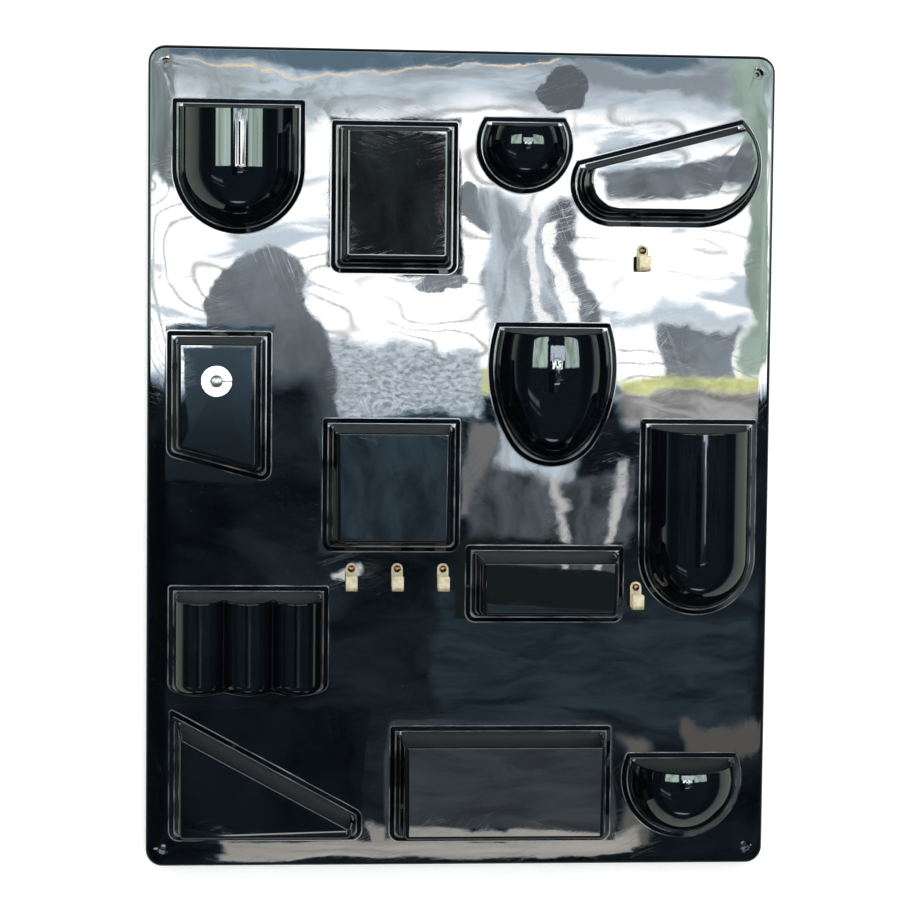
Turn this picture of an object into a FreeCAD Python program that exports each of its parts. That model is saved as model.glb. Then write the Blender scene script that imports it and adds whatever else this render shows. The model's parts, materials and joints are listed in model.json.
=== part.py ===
"""A wall organiser: one moulded board with thirteen open-topped pockets.

Each pocket is closed from behind by a bonded back plate. Five strip hooks swivel on rivets in the
board's skin, and a slit clip disc turns on a rivet in the front wall of one pocket.

Frame: X to the right, Z up, the front faces -Y. The origin is the middle of the wall plane, so the
back of the rim lies in Y = 0. A pocket's outline is a sketch on the board's front skin, seen from
the front and drawn clockwise from its top left corner; heights in front of the skin are positive.
"""
import FreeCAD, Part
import math
import os
import Sketcher

Vector = FreeCAD.Vector
doc = FreeCAD.newDocument("wall_organiser")
FACING_FRONT = FreeCAD.Rotation(Vector(1, 0, 0), 90)
NEAR = 0.01                    # mm; points closer than this along an axis are level
SMOOTH = math.radians(6)       # faces that meet at less than this are one smooth surface

SIZES = {
    # board
    "board_width": 520, "board_height": 680, "board_front": 16.8, "board_corner": 14,
    "board_edge": 3, "skin": 2.5,
    "hole_side": 245.5, "hole_rise": 325, "hole_radius": 2.25, "sink_radius": 4.15,
    "sink_deep": 6, "boss_radius": 7,
    # what every pocket shares: a raised ledge round the outline, then a drafted wall
    "step": 2.8, "ledge": 6, "face_inset": 10.2, "reach": 45, "over_cut": 0.1,
    "tight_corner": 2, "soft_corner": 8, "step_edge": 1.2, "wall_corner": 4, "face_edge": 3,
    "recess_tight": 0.5, "plate_gap": 0.2,
    # straight-sided pockets
    "upper_tray_left": -109.3, "upper_tray_right": -5.2,
    "upper_tray_top": 280.5, "upper_tray_bottom": 155.7,
    "square_bin_left": -114.8, "square_bin_right": -1,
    "square_bin_top": 35, "square_bin_bottom": -75.3,
    "short_tray_left": 5.4, "short_tray_right": 137.6,
    "short_tray_top": -70.4, "short_tray_bottom": -134.2,
    "lower_tray_left": -56.5, "lower_tray_right": 129,
    "lower_tray_top": -222.5, "lower_tray_bottom": -319.5,
    "clip_bin_left": -243.5, "clip_bin_right": -158, "clip_bin_top": 106,
    "clip_bin_bottom": -18.7, "clip_bin_rise": 22.4,
    "triangle_bin_left": -240.5, "triangle_bin_right": -80.5, "triangle_bin_top": -207.5,
    "triangle_bin_bottom": -318, "triangle_bin_drop": 87.4,
    # leaning pocket: two round ends, one straight base, an opening edge that climbs to the right
    "slant_left_x": 124, "slant_left_radius": 35, "slant_right_x": 197,
    "slant_right_radius": 52, "slant_base": 197, "slant_angle": 14.7, "slant_rise": 27.4,
    # rounded pockets
    "wide_cup_x": -185.8, "wide_cup_centre": 241, "wide_cup_radius": 54.2, "wide_cup_top": 296.5,
    "tall_cup_x": 199.9, "tall_cup_centre": -79, "tall_cup_radius": 48.7, "tall_cup_top": 36.3,
    "small_cup_x": 50.3, "small_cup_centre": 263.3, "small_cup_radius": 40.2,
    "small_cup_top": 285.5,
    "bowl_x": 189.9, "bowl_centre": -266.4, "bowl_radius": 50.6, "bowl_top": -245.7,
    "egg_cup_x": 76, "egg_cup_centre": 79, "egg_cup_half": 53.5, "egg_cup_drop": 82.5,
    "egg_cup_top": 116, "egg_flank_radius": 120, "egg_base_radius": 42.3,
    # three tubes side by side
    "tube_x": -175.5, "tube_pitch": 40, "tube_top": -105, "tube_bottom": -196.6,
    "tube_scallop": 62, "tube_web": 22, "tube_round": 8,
    # hooks
    "strip_width": 9.3, "strip_thick": 1.2, "hook_drop": 17.5, "hook_reach": 18,
    "hook_lip": 13, "hook_bend": 4, "hook_top": 4.6, "hook_lip_corner": 1.5,
    "row_z": -90, "row_left_x": -90.5, "row_pitch": 38.2,
    "upper_hook_x": 150, "upper_hook_z": 177, "lower_hook_x": 148.6, "lower_hook_z": -105,
    # rivets and the clip disc
    "running_gap": 0.05, "rivet_shank": 1.6, "rivet_head": 3, "rivet_dome": 1.4,
    "rivet_tail": 2.7, "tail_thick": 1, "dome_rim": 0.3,
    "disc_x": -201.9, "disc_z": 66.2, "disc_radius": 12.7, "disc_thick": 1.4,
    "disc_edge": 0.5, "disc_slit": 0.9, "pin_shank": 2.4, "pin_head": 5.2, "pin_dome": 2.4,
    "pin_tail": 4,
}


def fill_sheet():
    """Put the driving dimensions into a spreadsheet, one named cell each."""
    sheet = doc.addObject("Spreadsheet::Sheet", "sizes")
    for row, (name, number) in enumerate(SIZES.items(), start=1):
        sheet.set(f"A{row}", name)
        sheet.set(f"B{row}", str(number))
        sheet.setAlias(f"B{row}", name)
    doc.recompute()
    return sheet


SHEET = fill_sheet()


def number(rule):
    """The present value of a spreadsheet rule, for the first guess of a sketch."""
    answer = SHEET.evalExpression(rule)
    return float(getattr(answer, "Value", answer))


def bind(item, **rules):
    """Bind properties to rules; a double underscore in a name stands for a dot."""
    for name, rule in rules.items():
        item.setExpression(name.replace("__", "."), rule)
    return item


def named(kind, name):
    """A new document object whose label is its name."""
    item = doc.addObject(kind, name)
    item.Label = name
    return item


# ---------------------------------------------------------------- outlines on the front skin

def centre_of(start, end, centre_z):
    """Centre, at the given height, of an arc through two points."""
    gap = (start.y - centre_z) ** 2 - (end.y - centre_z) ** 2
    centre_x = (start.x ** 2 - end.x ** 2 + gap) / (2 * (start.x - end.x))
    return Vector(centre_x, centre_z, 0)


def clockwise_arc(start, end, centre_z):
    centre = centre_of(start, end, centre_z)
    first = math.atan2(end.y - centre.y, end.x - centre.x)
    last = math.atan2(start.y - centre.y, start.x - centre.x)
    circle = Part.Circle(centre, Vector(0, 0, 1), (start - centre).Length)
    return Part.ArcOfCircle(circle, first, last + 2 * math.pi if last < first else last)


def draw_outline(sketch, corners, arcs):
    """Closed outline; arcs maps the index of a side to the rule for its centre height."""
    points = [Vector(number(x), number(z), 0) for x, z in corners]
    count = len(points)
    begins = []
    ends = []
    for side in range(count):
        start, end = points[side], points[(side + 1) % count]
        if side in arcs:
            sketch.addGeometry(clockwise_arc(start, end, number(arcs[side])))
        else:
            sketch.addGeometry(Part.LineSegment(start, end))
        begins.append(2 if side in arcs else 1)
        ends.append(1 if side in arcs else 2)
    for side in range(count):
        after = (side + 1) % count
        sketch.addConstraint(
            Sketcher.Constraint("Coincident", side, ends[side], after, begins[after]))
    for side, (x_rule, z_rule) in enumerate(corners):
        place(sketch, "DistanceX", side, begins[side], x_rule)
        place(sketch, "DistanceY", side, begins[side], z_rule)
    for side, rule in arcs.items():
        place(sketch, "DistanceY", side, 3, rule)


def place(sketch, direction, side, point, rule):
    """Hold one coordinate of a sketch point to a spreadsheet rule."""
    index = sketch.addConstraint(
        Sketcher.Constraint(direction, -1, 1, side, point, number(rule)))
    sketch.setExpression(f"Constraints[{index}]", rule)


def outline(name, corners, arcs):
    """An outline sketch lying on the board's front skin."""
    sketch = named("Sketcher::SketchObject", name)
    sketch.Placement = FreeCAD.Placement(Vector(0, 0, 0), FACING_FRONT)
    draw_outline(sketch, corners, arcs)
    return bind(sketch, Placement__Base__y="-sizes.board_front")


def box_corners(pocket, lift):
    left, right = f"sizes.{pocket}_left", f"sizes.{pocket}_right"
    top, bottom = f"sizes.{pocket}_top + {lift}", f"sizes.{pocket}_bottom"
    return [(left, top), (right, top), (right, bottom), (left, bottom)], {}


def clip_corners(pocket, lift):
    """Four straight sides, the base climbing to the left."""
    corners, arcs = box_corners(pocket, lift)
    corners[3] = (corners[3][0], f"{corners[3][1]} + sizes.{pocket}_rise")
    return corners, arcs


def triangle_corners(pocket, lift):
    """The opening edge falls to the right and leaves a short upright side there."""
    slope = f"atan(sizes.{pocket}_drop / (sizes.{pocket}_right - sizes.{pocket}_left))"
    corners, arcs = box_corners(pocket, f"({lift}) / cos({slope})")
    corners[1] = (corners[1][0], f"{corners[1][1]} - sizes.{pocket}_drop")
    return corners, arcs


def slant_corners(pocket, lift):
    """Two round ends on one base line; the opening edge stays a chord of both ends."""
    left_z = "(sizes.slant_base + sizes.slant_left_radius)"
    right_z = "(sizes.slant_base + sizes.slant_right_radius)"
    across, up = "cos(sizes.slant_angle)", "sin(sizes.slant_angle)"
    rise = f"(sizes.slant_rise + {lift})"
    far_rise = (f"({rise} - {up} * (sizes.slant_right_x - sizes.slant_left_x)"
                f" + {across} * ({right_z} - {left_z}))")
    reach = f"sqrt(sizes.slant_right_radius ^ 2 - {rise} ^ 2)"
    far_reach = f"sqrt(sizes.slant_left_radius ^ 2 - {far_rise} ^ 2)"
    corners = [
        (f"sizes.slant_left_x - {up} * {far_rise} - {across} * {far_reach}",
         f"{left_z} + {across} * {far_rise} - {up} * {far_reach}"),
        (f"sizes.slant_right_x - {up} * {rise} + {across} * {reach}",
         f"{right_z} + {across} * {rise} + {up} * {reach}"),
        ("sizes.slant_right_x", "sizes.slant_base"),
        ("sizes.slant_left_x", "sizes.slant_base"),
    ]
    return corners, {1: right_z, 3: left_z}


def cup_corners(pocket, lift):
    """Upright sides over a half circle."""
    left = f"sizes.{pocket}_x - sizes.{pocket}_radius"
    right = f"sizes.{pocket}_x + sizes.{pocket}_radius"
    top, centre = f"sizes.{pocket}_top + {lift}", f"sizes.{pocket}_centre"
    return [(left, top), (right, top), (right, centre), (left, centre)], {2: centre}


def round_corners(pocket, lift):
    """A circle whose top is cut off level."""
    centre, top = f"sizes.{pocket}_centre", f"(sizes.{pocket}_top + {lift})"
    half = f"sqrt(sizes.{pocket}_radius ^ 2 - ({top} - {centre}) ^ 2)"
    low = f"{centre} - sizes.{pocket}_radius"
    middle = f"sizes.{pocket}_x"
    return [(f"{middle} - {half}", top), (f"{middle} + {half}", top), (middle, low)], {
        1: centre, 2: centre}


def egg_corners(pocket, lift):
    """An oval of two flank arcs and a base arc, its top cut off level."""
    centre, top = f"sizes.{pocket}_centre", f"(sizes.{pocket}_top + {lift})"
    middle, flank = f"sizes.{pocket}_x", "sizes.egg_flank_radius"
    inward = f"({flank} - sizes.{pocket}_half)"
    half = f"(sqrt({flank} ^ 2 - ({top} - {centre}) ^ 2) - {inward})"
    base_z = f"({centre} - sizes.{pocket}_drop + sizes.egg_base_radius)"
    slope = f"({flank} / ({flank} - sizes.egg_base_radius))"
    join_x = f"({inward} * {slope} - {inward})"
    join_z = f"({centre} - ({centre} - {base_z}) * {slope})"
    corners = [(f"{middle} - {half}", top), (f"{middle} + {half}", top),
               (f"{middle} + {join_x}", join_z), (f"{middle} - {join_x}", join_z)]
    return corners, {1: centre, 2: base_z, 3: centre}


def tube_corners(pocket, lift):
    """A straight opening edge over three shallow scallops."""
    top, pitch, middle = f"sizes.tube_top + {lift}", "sizes.tube_pitch", "sizes.tube_x"
    half = f"(1.5 * {pitch} + sizes.ledge)"
    centre = "(sizes.tube_bottom + sizes.tube_scallop)"
    side = f"{centre} - sqrt(sizes.tube_scallop ^ 2 - ({half} - {pitch}) ^ 2)"
    cusp = f"{centre} - sqrt(sizes.tube_scallop ^ 2 - (0.5 * {pitch}) ^ 2)"
    corners = [(f"{middle} - {half}", top), (f"{middle} + {half}", top),
               (f"{middle} + {half}", side), (f"{middle} + 0.5 * {pitch}", cusp),
               (f"{middle} - 0.5 * {pitch}", cusp), (f"{middle} - {half}", side)]
    return corners, {2: centre, 3: centre, 4: centre}


# ---------------------------------------------------------------- solids grown from outlines

def inset(name, sketch, rule):
    """The sketch's outline moved inward by a rule."""
    ring = named("Part::Offset2D", name)
    ring.Source = sketch
    ring.Join = "Intersection"
    return bind(ring, Value=f"-({rule})")


def grown(name, base, front, back="0", taper="0"):
    """A solid from an outline: so far to the front, so far to the back, narrowing by taper."""
    solid = named("Part::Extrusion", name)
    solid.Base = base
    solid.DirMode = "Custom"
    solid.Dir = Vector(0, -1, 0)
    solid.Solid = True
    return bind(solid, LengthFwd=front, LengthRev=back, TaperAngle=taper)


def is_sharp(shape, edge):
    """Whether the two faces at an edge meet at an angle, not smoothly."""
    middle = edge.valueAt((edge.FirstParameter + edge.LastParameter) / 2)
    faces = shape.ancestorsOfType(edge, Part.Face)
    normals = [face.normalAt(*face.Surface.parameter(middle)) for face in faces]
    return len(normals) == 2 and normals[0].getAngle(normals[1]) > SMOOTH


def rounded(name, base, groups):
    """Fillet the sharp edges; groups is a list of (test of an edge, radius rule)."""
    doc.recompute()
    edges = []
    for index, edge in enumerate(base.Shape.Edges, start=1):
        rules = [rule for chosen, rule in groups if chosen(edge)]
        if rules and is_sharp(base.Shape, edge):
            edges.append((index, number(rules[0]), number(rules[0])))
    if not edges:
        return base
    fillet = named("Part::Fillet", name)
    fillet.Base = base
    fillet.Edges = edges
    return fillet


def runs_forward(edge):
    """Edges that run from the skin towards the front."""
    run = edge.lastVertex().Point - edge.firstVertex().Point
    return run.Length > 0.1 and abs(run.y) > 0.8 * run.Length


def at_depth(rule):
    """Edges that lie in one plane at a height in front of the skin."""
    depth = -number(f"sizes.board_front + {rule}")
    return lambda edge: all(abs(vertex.Y - depth) < NEAR for vertex in edge.Vertexes)


# ---------------------------------------------------------------- pockets

DRAFT = "-atan((sizes.face_inset - sizes.ledge) / sizes.reach)"
LIFT = "(sizes.skin + sizes.over_cut)"
FRONT_HALF = FreeCAD.Rotation(Vector(0, 0, 1), 180)


def corner_rules(outline_sketch, soft, tight):
    """Soft corners in the lower half of an outline, tight ones at its opening edge."""
    box = outline_sketch.Shape.BoundBox
    middle = (box.ZMin + box.ZMax) / 2
    return [(lambda edge: runs_forward(edge) and edge.CenterOfMass.z < middle, soft),
            (runs_forward, tight)]


def flat_pocket(name, sketch, opening):
    """Straight drafted walls and a flat front; open along its top side."""
    block = grown(f"{name}_block", inset(f"{name}_foot", sketch, "sizes.ledge"),
                  "sizes.reach", taper=DRAFT)
    low_corners = corner_rules(sketch, "sizes.wall_corner", None)[:1]
    block = rounded(f"{name}_block_corners", block, low_corners)
    block = rounded(f"{name}_block_face", block, [(at_depth("sizes.reach"), "sizes.face_edge")])
    inner = inset(f"{name}_inner_foot", opening, "sizes.ledge + sizes.skin")
    hollow = grown(f"{name}_hollow", inner, "sizes.reach - sizes.skin", taper=DRAFT)
    return block, hollow


def keeper(name, pocket, lift):
    """What lies below the sloping opening plane of a rounded pocket."""
    side = f"2 * sizes.{pocket}_radius" if pocket != "egg_cup" else "2 * sizes.egg_cup_drop"
    left, right = f"sizes.{pocket}_x - {side}", f"sizes.{pocket}_x + {side}"
    top = f"sizes.{pocket}_top - sizes.ledge + {lift}"
    bottom = f"sizes.{pocket}_centre - {side}"
    corners = [(left, top), (right, top), (right, bottom), (left, bottom)]
    return grown(name, outline(f"{name}_outline", corners, {}), "2 * sizes.reach", taper=DRAFT)


def common(name, base, tool):
    part = named("Part::Common", name)
    part.Base = base
    part.Tool = tool
    return part


def fused(name, parts):
    whole = named("Part::MultiFuse", name)
    whole.Shapes = parts
    return whole


def front_half(kind, name, pocket, **rules):
    """A primitive's front half, standing on the skin at the pocket's centre."""
    solid = named(kind, name)
    solid.Placement = FreeCAD.Placement(Vector(0, 0, 0), FRONT_HALF)
    return bind(solid, Placement__Base__x=f"sizes.{pocket}_x",
                Placement__Base__y="-sizes.board_front",
                Placement__Base__z=f"sizes.{pocket}_centre", **rules)


def cup_form(name, pocket, shrink):
    """Half a cylinder standing on a quarter of a ball."""
    radius = f"sizes.{pocket}_radius - sizes.ledge - {shrink}"
    barrel = front_half("Part::Cylinder", f"{name}_barrel", pocket, Radius=radius, Angle="180",
                        Height=f"sizes.{pocket}_top - sizes.{pocket}_centre")
    ball = front_half("Part::Sphere", f"{name}_ball", pocket, Radius=radius, Angle2="0",
                      Angle3="180")
    return fused(f"{name}_form", [barrel, ball])


def ball_form(name, pocket, shrink):
    """Half a ball."""
    return front_half("Part::Sphere", f"{name}_form", pocket, Angle3="180",
                      Radius=f"sizes.{pocket}_radius - sizes.ledge - {shrink}")


def egg_form(name, pocket, shrink):
    """An ellipsoid, taller than wide."""
    return front_half("Part::Ellipsoid", f"{name}_form", pocket, Angle3="360",
                      Radius1=f"sizes.egg_cup_drop - sizes.ledge - {shrink}",
                      Radius2=f"sizes.egg_cup_half - sizes.ledge - {shrink}",
                      Radius3=f"sizes.reach - {shrink}")


def round_pocket(name, pocket, form):
    """A rounded shell cut open by the sloping plane."""
    block = common(f"{name}_block", form(f"{name}_outer", pocket, "0"),
                   keeper(f"{name}_keep", pocket, "0"))
    hollow = common(f"{name}_hollow", form(f"{name}_inner", pocket, "sizes.skin"),
                    keeper(f"{name}_inner_keep", pocket, "sizes.over_cut"))
    return block, hollow


def tube_form(name, shrink):
    """Three upright tubes: a straight web at the skin, half round at the front, a round foot."""
    floor = f"sizes.tube_bottom + sizes.ledge + {shrink}"
    height = f"sizes.tube_top - ({floor})"
    radius = f"(sizes.tube_pitch / 2 - {shrink})"
    web_front = "-sizes.board_front - sizes.tube_web"
    tubes = []
    for place_in_row in (-1, 0, 1):
        middle = f"sizes.tube_x + ({place_in_row}) * sizes.tube_pitch"
        tube = f"{name}_tube_{place_in_row + 2}"
        barrel = bind(named("Part::Cylinder", f"{tube}_barrel"), Radius=radius, Height=height,
                      Placement__Base__x=middle, Placement__Base__y=web_front,
                      Placement__Base__z=floor)
        web = bind(named("Part::Box", f"{tube}_web"), Length=f"2 * {radius}",
                   Width="sizes.tube_web", Height=height,
                   Placement__Base__x=f"{middle} - {radius}", Placement__Base__y=web_front,
                   Placement__Base__z=floor)
        whole = fused(f"{tube}_whole", [barrel, web])
        whole.Refine = True
        tubes.append(foot_rounded(tube, whole, f"sizes.tube_round - {shrink}"))
    return fused(f"{name}_form", tubes)


def foot_rounded(name, tube, radius):
    """Round a tube's foot, except the edge that lies on the skin."""
    doc.recompute()
    floor = tube.Shape.BoundBox.ZMin
    skin_y = -number("sizes.board_front")

    def in_front(edge):
        low = all(abs(vertex.Z - floor) < NEAR for vertex in edge.Vertexes)
        return low and edge.CenterOfMass.y < skin_y - NEAR

    return rounded(name, tube, [(in_front, radius)])


def tube_keeper(name, lift):
    left, right = "sizes.tube_x - 3 * sizes.tube_pitch", "sizes.tube_x + 3 * sizes.tube_pitch"
    top, bottom = f"sizes.tube_top - sizes.ledge + {lift}", "2 * sizes.tube_bottom"
    corners = [(left, top), (right, top), (right, bottom), (left, bottom)]
    return grown(name, outline(f"{name}_outline", corners, {}), "2 * sizes.reach", taper=DRAFT)


def tube_pocket(name):
    block = common(f"{name}_block", tube_form(f"{name}_outer", "0"),
                   tube_keeper(f"{name}_keep", "0"))
    hollow = common(f"{name}_hollow", tube_form(f"{name}_inner", "sizes.skin"),
                    tube_keeper(f"{name}_inner_keep", "sizes.over_cut"))
    return block, hollow


POCKETS = {
    "upper_tray": (box_corners, None), "square_bin": (box_corners, None),
    "short_tray": (box_corners, None), "lower_tray": (box_corners, None),
    "clip_bin": (clip_corners, None), "triangle_bin": (triangle_corners, None),
    "slant_bin": (slant_corners, None), "tube_rack": (tube_corners, None),
    "wide_cup": (cup_corners, cup_form), "tall_cup": (cup_corners, cup_form),
    "small_cup": (round_corners, ball_form), "bowl": (round_corners, ball_form),
    "egg_cup": (egg_corners, egg_form),
}


def add_pocket(name, corners_of, form):
    """Ledge and shell to add to the board, recess and hollow to cut, and the back plate."""
    sketch = outline(f"{name}_outline", *corners_of(name, "0"))
    doc.recompute()
    ledge = grown(f"{name}_ledge_block", sketch, "sizes.step", back="sizes.skin")
    ledge = rounded(f"{name}_ledge_corners", ledge,
                    corner_rules(sketch, "sizes.soft_corner", "sizes.tight_corner"))
    ledge = rounded(f"{name}_ledge", ledge, [(at_depth("sizes.step"), "sizes.step_edge")])
    recess = grown(f"{name}_recess_block", inset(f"{name}_recess_edge", sketch, "sizes.skin"),
                   "sizes.step - sizes.skin", back="sizes.skin + sizes.over_cut")
    recess_corner = "sizes.soft_corner - sizes.skin"
    recess = rounded(f"{name}_recess", recess, corner_rules(sketch, recess_corner, "sizes.recess_tight"))
    plate_edge = inset(f"{name}_plate_edge", sketch, "sizes.skin + sizes.plate_gap")
    plate = grown(f"{name}_plate_block", plate_edge, "sizes.step - sizes.skin",
                  back="2 * sizes.skin - sizes.step")
    plate = rounded(f"{name}_plate", plate, corner_rules(sketch, recess_corner, "sizes.recess_tight"))
    plate.Label = f"back_plate_{name}"
    if form:
        block, hollow = round_pocket(name, name, form)
    elif name == "tube_rack":
        block, hollow = tube_pocket(name)
    else:
        opening = outline(f"{name}_opening", *corners_of(name, LIFT))
        block, hollow = flat_pocket(name, sketch, opening)
    return [ledge, block], [recess, hollow], plate


added, removed, SUBPARTS = [], [], []
for pocket_name, (corner_function, form_function) in POCKETS.items():
    solids, cutters, back_plate = add_pocket(pocket_name, corner_function, form_function)
    added += solids
    removed += cutters
    SUBPARTS.append(back_plate)


# ---------------------------------------------------------------- board

def origin_plane(body, role):
    return next(plane for plane in body.Origin.OriginFeatures if plane.Role == role)


def body_sketch(body, name, role):
    """An empty sketch on one of a body's own origin planes."""
    sketch = body.newObject("Sketcher::SketchObject", name)
    sketch.AttachmentSupport = [(origin_plane(body, role), "")]
    sketch.MapMode = "FlatFace"
    return sketch


def feature(body, kind, name, sketch=None, **rules):
    """A PartDesign feature on a body, bound to the sheet and computed."""
    item = body.newObject(kind, name)
    if sketch:
        item.Profile = sketch
    bind(item, **rules)
    doc.recompute()
    return item


def dress(body, kind, name, chosen, rule):
    """A fillet or chamfer on the edges of the body's tip that pass a test."""
    base = body.Tip
    edges = [f"Edge{index}" for index, edge in enumerate(base.Shape.Edges, start=1)
             if chosen(edge)]
    item = body.newObject(kind, name)
    item.Base = (base, edges)
    bind(item, **{"Radius" if kind.endswith("Fillet") else "Size": rule})
    doc.recompute()
    return item


def make_tray():
    """The flat front skin and its turned-back rim, open at the wall."""
    body = named("PartDesign::Body", "tray")
    sketch = body_sketch(body, "tray_outline", "XZ_Plane")
    half_wide, half_high = "sizes.board_width / 2", "sizes.board_height / 2"
    corners = [(f"-{half_wide}", half_high), (half_wide, half_high),
               (half_wide, f"-{half_high}"), (f"-{half_wide}", f"-{half_high}")]
    draw_outline(sketch, corners, {})
    feature(body, "PartDesign::Pad", "tray_block", sketch, Length="sizes.board_front")
    dress(body, "PartDesign::Fillet", "tray_corners", runs_forward, "sizes.board_corner")
    dress(body, "PartDesign::Fillet", "tray_edge", at_depth("0"), "sizes.board_edge")
    base = body.Tip
    backs = [f"Face{index}" for index, face in enumerate(base.Shape.Faces, start=1)
             if abs(face.CenterOfMass.y) < NEAR]
    shell = body.newObject("PartDesign::Thickness", "tray_shell")
    shell.Base = (base, backs)
    shell.Reversed = True
    bind(shell, Value="sizes.skin")
    doc.recompute()
    return body


def post(name, radius, front, length, x_rule, z_rule):
    """A round bar along Y; front is how far its front end stands from the wall plane."""
    bar = named("Part::Cylinder", name)
    bar.Placement = FreeCAD.Placement(Vector(0, 0, 0), FreeCAD.Rotation(Vector(1, 0, 0), -90))
    return bind(bar, Radius=radius, Height=length, Placement__Base__x=x_rule,
                Placement__Base__y=f"-({front})", Placement__Base__z=z_rule)


HOOKS = {
    "hook_row_left": ("sizes.row_left_x", "sizes.row_z"),
    "hook_row_middle": ("sizes.row_left_x + sizes.row_pitch", "sizes.row_z"),
    "hook_row_right": ("sizes.row_left_x + 2 * sizes.row_pitch", "sizes.row_z"),
    "hook_upper": ("sizes.upper_hook_x", "sizes.upper_hook_z"),
    "hook_lower": ("sizes.lower_hook_x", "sizes.lower_hook_z"),
}


def make_panel(solids, cutters):
    """Fuse the tray, ledges, shells and screw bosses, then cut every hollow and hole."""
    solids = [make_tray()] + solids
    cutters = list(cutters)
    through = "sizes.board_front + 2 * sizes.over_cut"
    past_front = "sizes.board_front + sizes.over_cut"
    for index, (side, rise) in enumerate([(-1, 1), (1, 1), (1, -1), (-1, -1)], start=1):
        spot = (f"{side} * sizes.hole_side", f"{rise} * sizes.hole_rise")
        solids.append(post(f"boss_{index}", "sizes.boss_radius",
                           "sizes.board_front - sizes.skin / 2",
                           "sizes.board_front - sizes.skin / 2", *spot))
        cutters.append(post(f"screw_hole_{index}", "sizes.hole_radius", past_front, through,
                            *spot))
        cutters.append(post(f"screw_sink_{index}", "sizes.sink_radius", past_front,
                            "sizes.sink_deep + sizes.over_cut", *spot))
    for name, spot in HOOKS.items():
        cutters.append(post(f"{name}_rivet_hole", "sizes.rivet_shank", past_front,
                            "sizes.skin + 2 * sizes.over_cut", *spot))
    disc_front = "sizes.board_front + sizes.reach + sizes.over_cut"
    cutters.append(post("disc_rivet_hole", "sizes.pin_shank", disc_front,
                        "sizes.skin + 2 * sizes.over_cut", "sizes.disc_x", "sizes.disc_z"))
    panel = named("Part::Cut", "panel")
    panel.Base = fused("panel_solid", solids)
    panel.Tool = fused("panel_hollows", cutters)
    panel.Refine = True
    doc.recompute()
    return panel


# ---------------------------------------------------------------- hooks, rivets and disc

def make_hook(name, x_rule, z_rule):
    """A bent strip: back leg round its rivet, flat floor, short front lip."""
    body = named("PartDesign::Body", name)
    sketch = body_sketch(body, f"{name}_side", "YZ_Plane")
    near, far = "-sizes.running_gap", "-sizes.hook_reach"
    strip, low = "sizes.strip_thick", "-sizes.hook_drop"
    lip_top = "(sizes.hook_lip - sizes.hook_drop)"
    corners = [
        (far, lip_top), (f"{far} + {strip}", lip_top), (f"{far} + {strip}", f"{low} + {strip}"),
        (f"{near} - {strip}", f"{low} + {strip}"), (f"{near} - {strip}", "sizes.hook_top"),
        (near, "sizes.hook_top"), (near, low), (far, low)]
    draw_outline(sketch, corners, {})
    feature(body, "PartDesign::Pad", f"{name}_strip", sketch, Length="sizes.strip_width")
    body.Tip.Midplane = True
    doc.recompute()
    low_z = number(low)
    strip_mm = number(strip)

    def across(edge):
        run = edge.lastVertex().Point - edge.firstVertex().Point
        return abs(run.x) > 0.9 * run.Length

    def outer_bend(edge):
        return across(edge) and abs(edge.CenterOfMass.z - low_z) < NEAR

    def inner_bend(edge):
        return across(edge) and abs(edge.CenterOfMass.z - low_z - strip_mm) < NEAR

    def top_corner(edge):
        return runs_forward(edge) and edge.CenterOfMass.z > number("sizes.hook_top") - NEAR

    def lip_corner(edge):
        return runs_forward(edge) and abs(edge.CenterOfMass.z - number(lip_top)) < NEAR

    dress(body, "PartDesign::Fillet", f"{name}_outer_bends", outer_bend, "sizes.hook_bend")
    dress(body, "PartDesign::Fillet", f"{name}_inner_bends", inner_bend,
          "sizes.hook_bend - sizes.strip_thick")
    dress(body, "PartDesign::Fillet", f"{name}_top", top_corner, "sizes.hook_top - sizes.running_gap")
    dress(body, "PartDesign::Fillet", f"{name}_lip", lip_corner, "sizes.hook_lip_corner")
    ring = body_sketch(body, f"{name}_eye_circle", "XZ_Plane")
    circle(ring, "sizes.rivet_shank + sizes.running_gap")
    eye = feature(body, "PartDesign::Pocket", f"{name}_eye", ring,
                  Length="2 * sizes.strip_thick")
    if abs(eye.Shape.Volume - eye.BaseFeature.Shape.Volume) < 1:
        eye.Reversed = True
        doc.recompute()
    return bind(body, Placement__Base__x=x_rule, Placement__Base__y="-sizes.board_front",
                Placement__Base__z=z_rule)


def circle(sketch, rule):
    """A circle round the sketch's origin."""
    sketch.addGeometry(Part.Circle(Vector(0, 0, 0), Vector(0, 0, 1), number(rule)))
    sketch.addConstraint(Sketcher.Constraint("Coincident", 0, 3, -1, 1))
    index = sketch.addConstraint(Sketcher.Constraint("Radius", 0, number(rule)))
    sketch.setExpression(f"Constraints[{index}]", rule)


def make_rivet(name, shank, head, dome, head_back, tail, tail_front, tail_thick):
    """A turned rivet along Y: domed head, plain shank, flat peened tail.

    head_back and tail_front are heights in front of the surface the rivet stands on.
    """
    body = named("PartDesign::Body", name)
    sketch = body_sketch(body, f"{name}_section", "XY_Plane")
    rim = f"({head_back} + sizes.dome_rim * {dome})"
    top = f"({head_back} + {dome})"
    tail_back = f"-({tail_front} - {tail_thick})"
    corners = [
        ("0", tail_back), (tail, tail_back), (tail, f"-({tail_front})"),
        (shank, f"-({tail_front})"), (shank, f"-({head_back})"), (head, f"-({head_back})"),
        (head, f"-{rim}"), ("0", f"-{top}")]
    draw_outline(sketch, corners, {6: dome_centre(head, top, rim)})
    turn = feature(body, "PartDesign::Revolution", f"{name}_turned", sketch)
    turn.ReferenceAxis = (sketch, ["V_Axis"])
    turn.Angle = 360
    doc.recompute()
    return body


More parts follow.
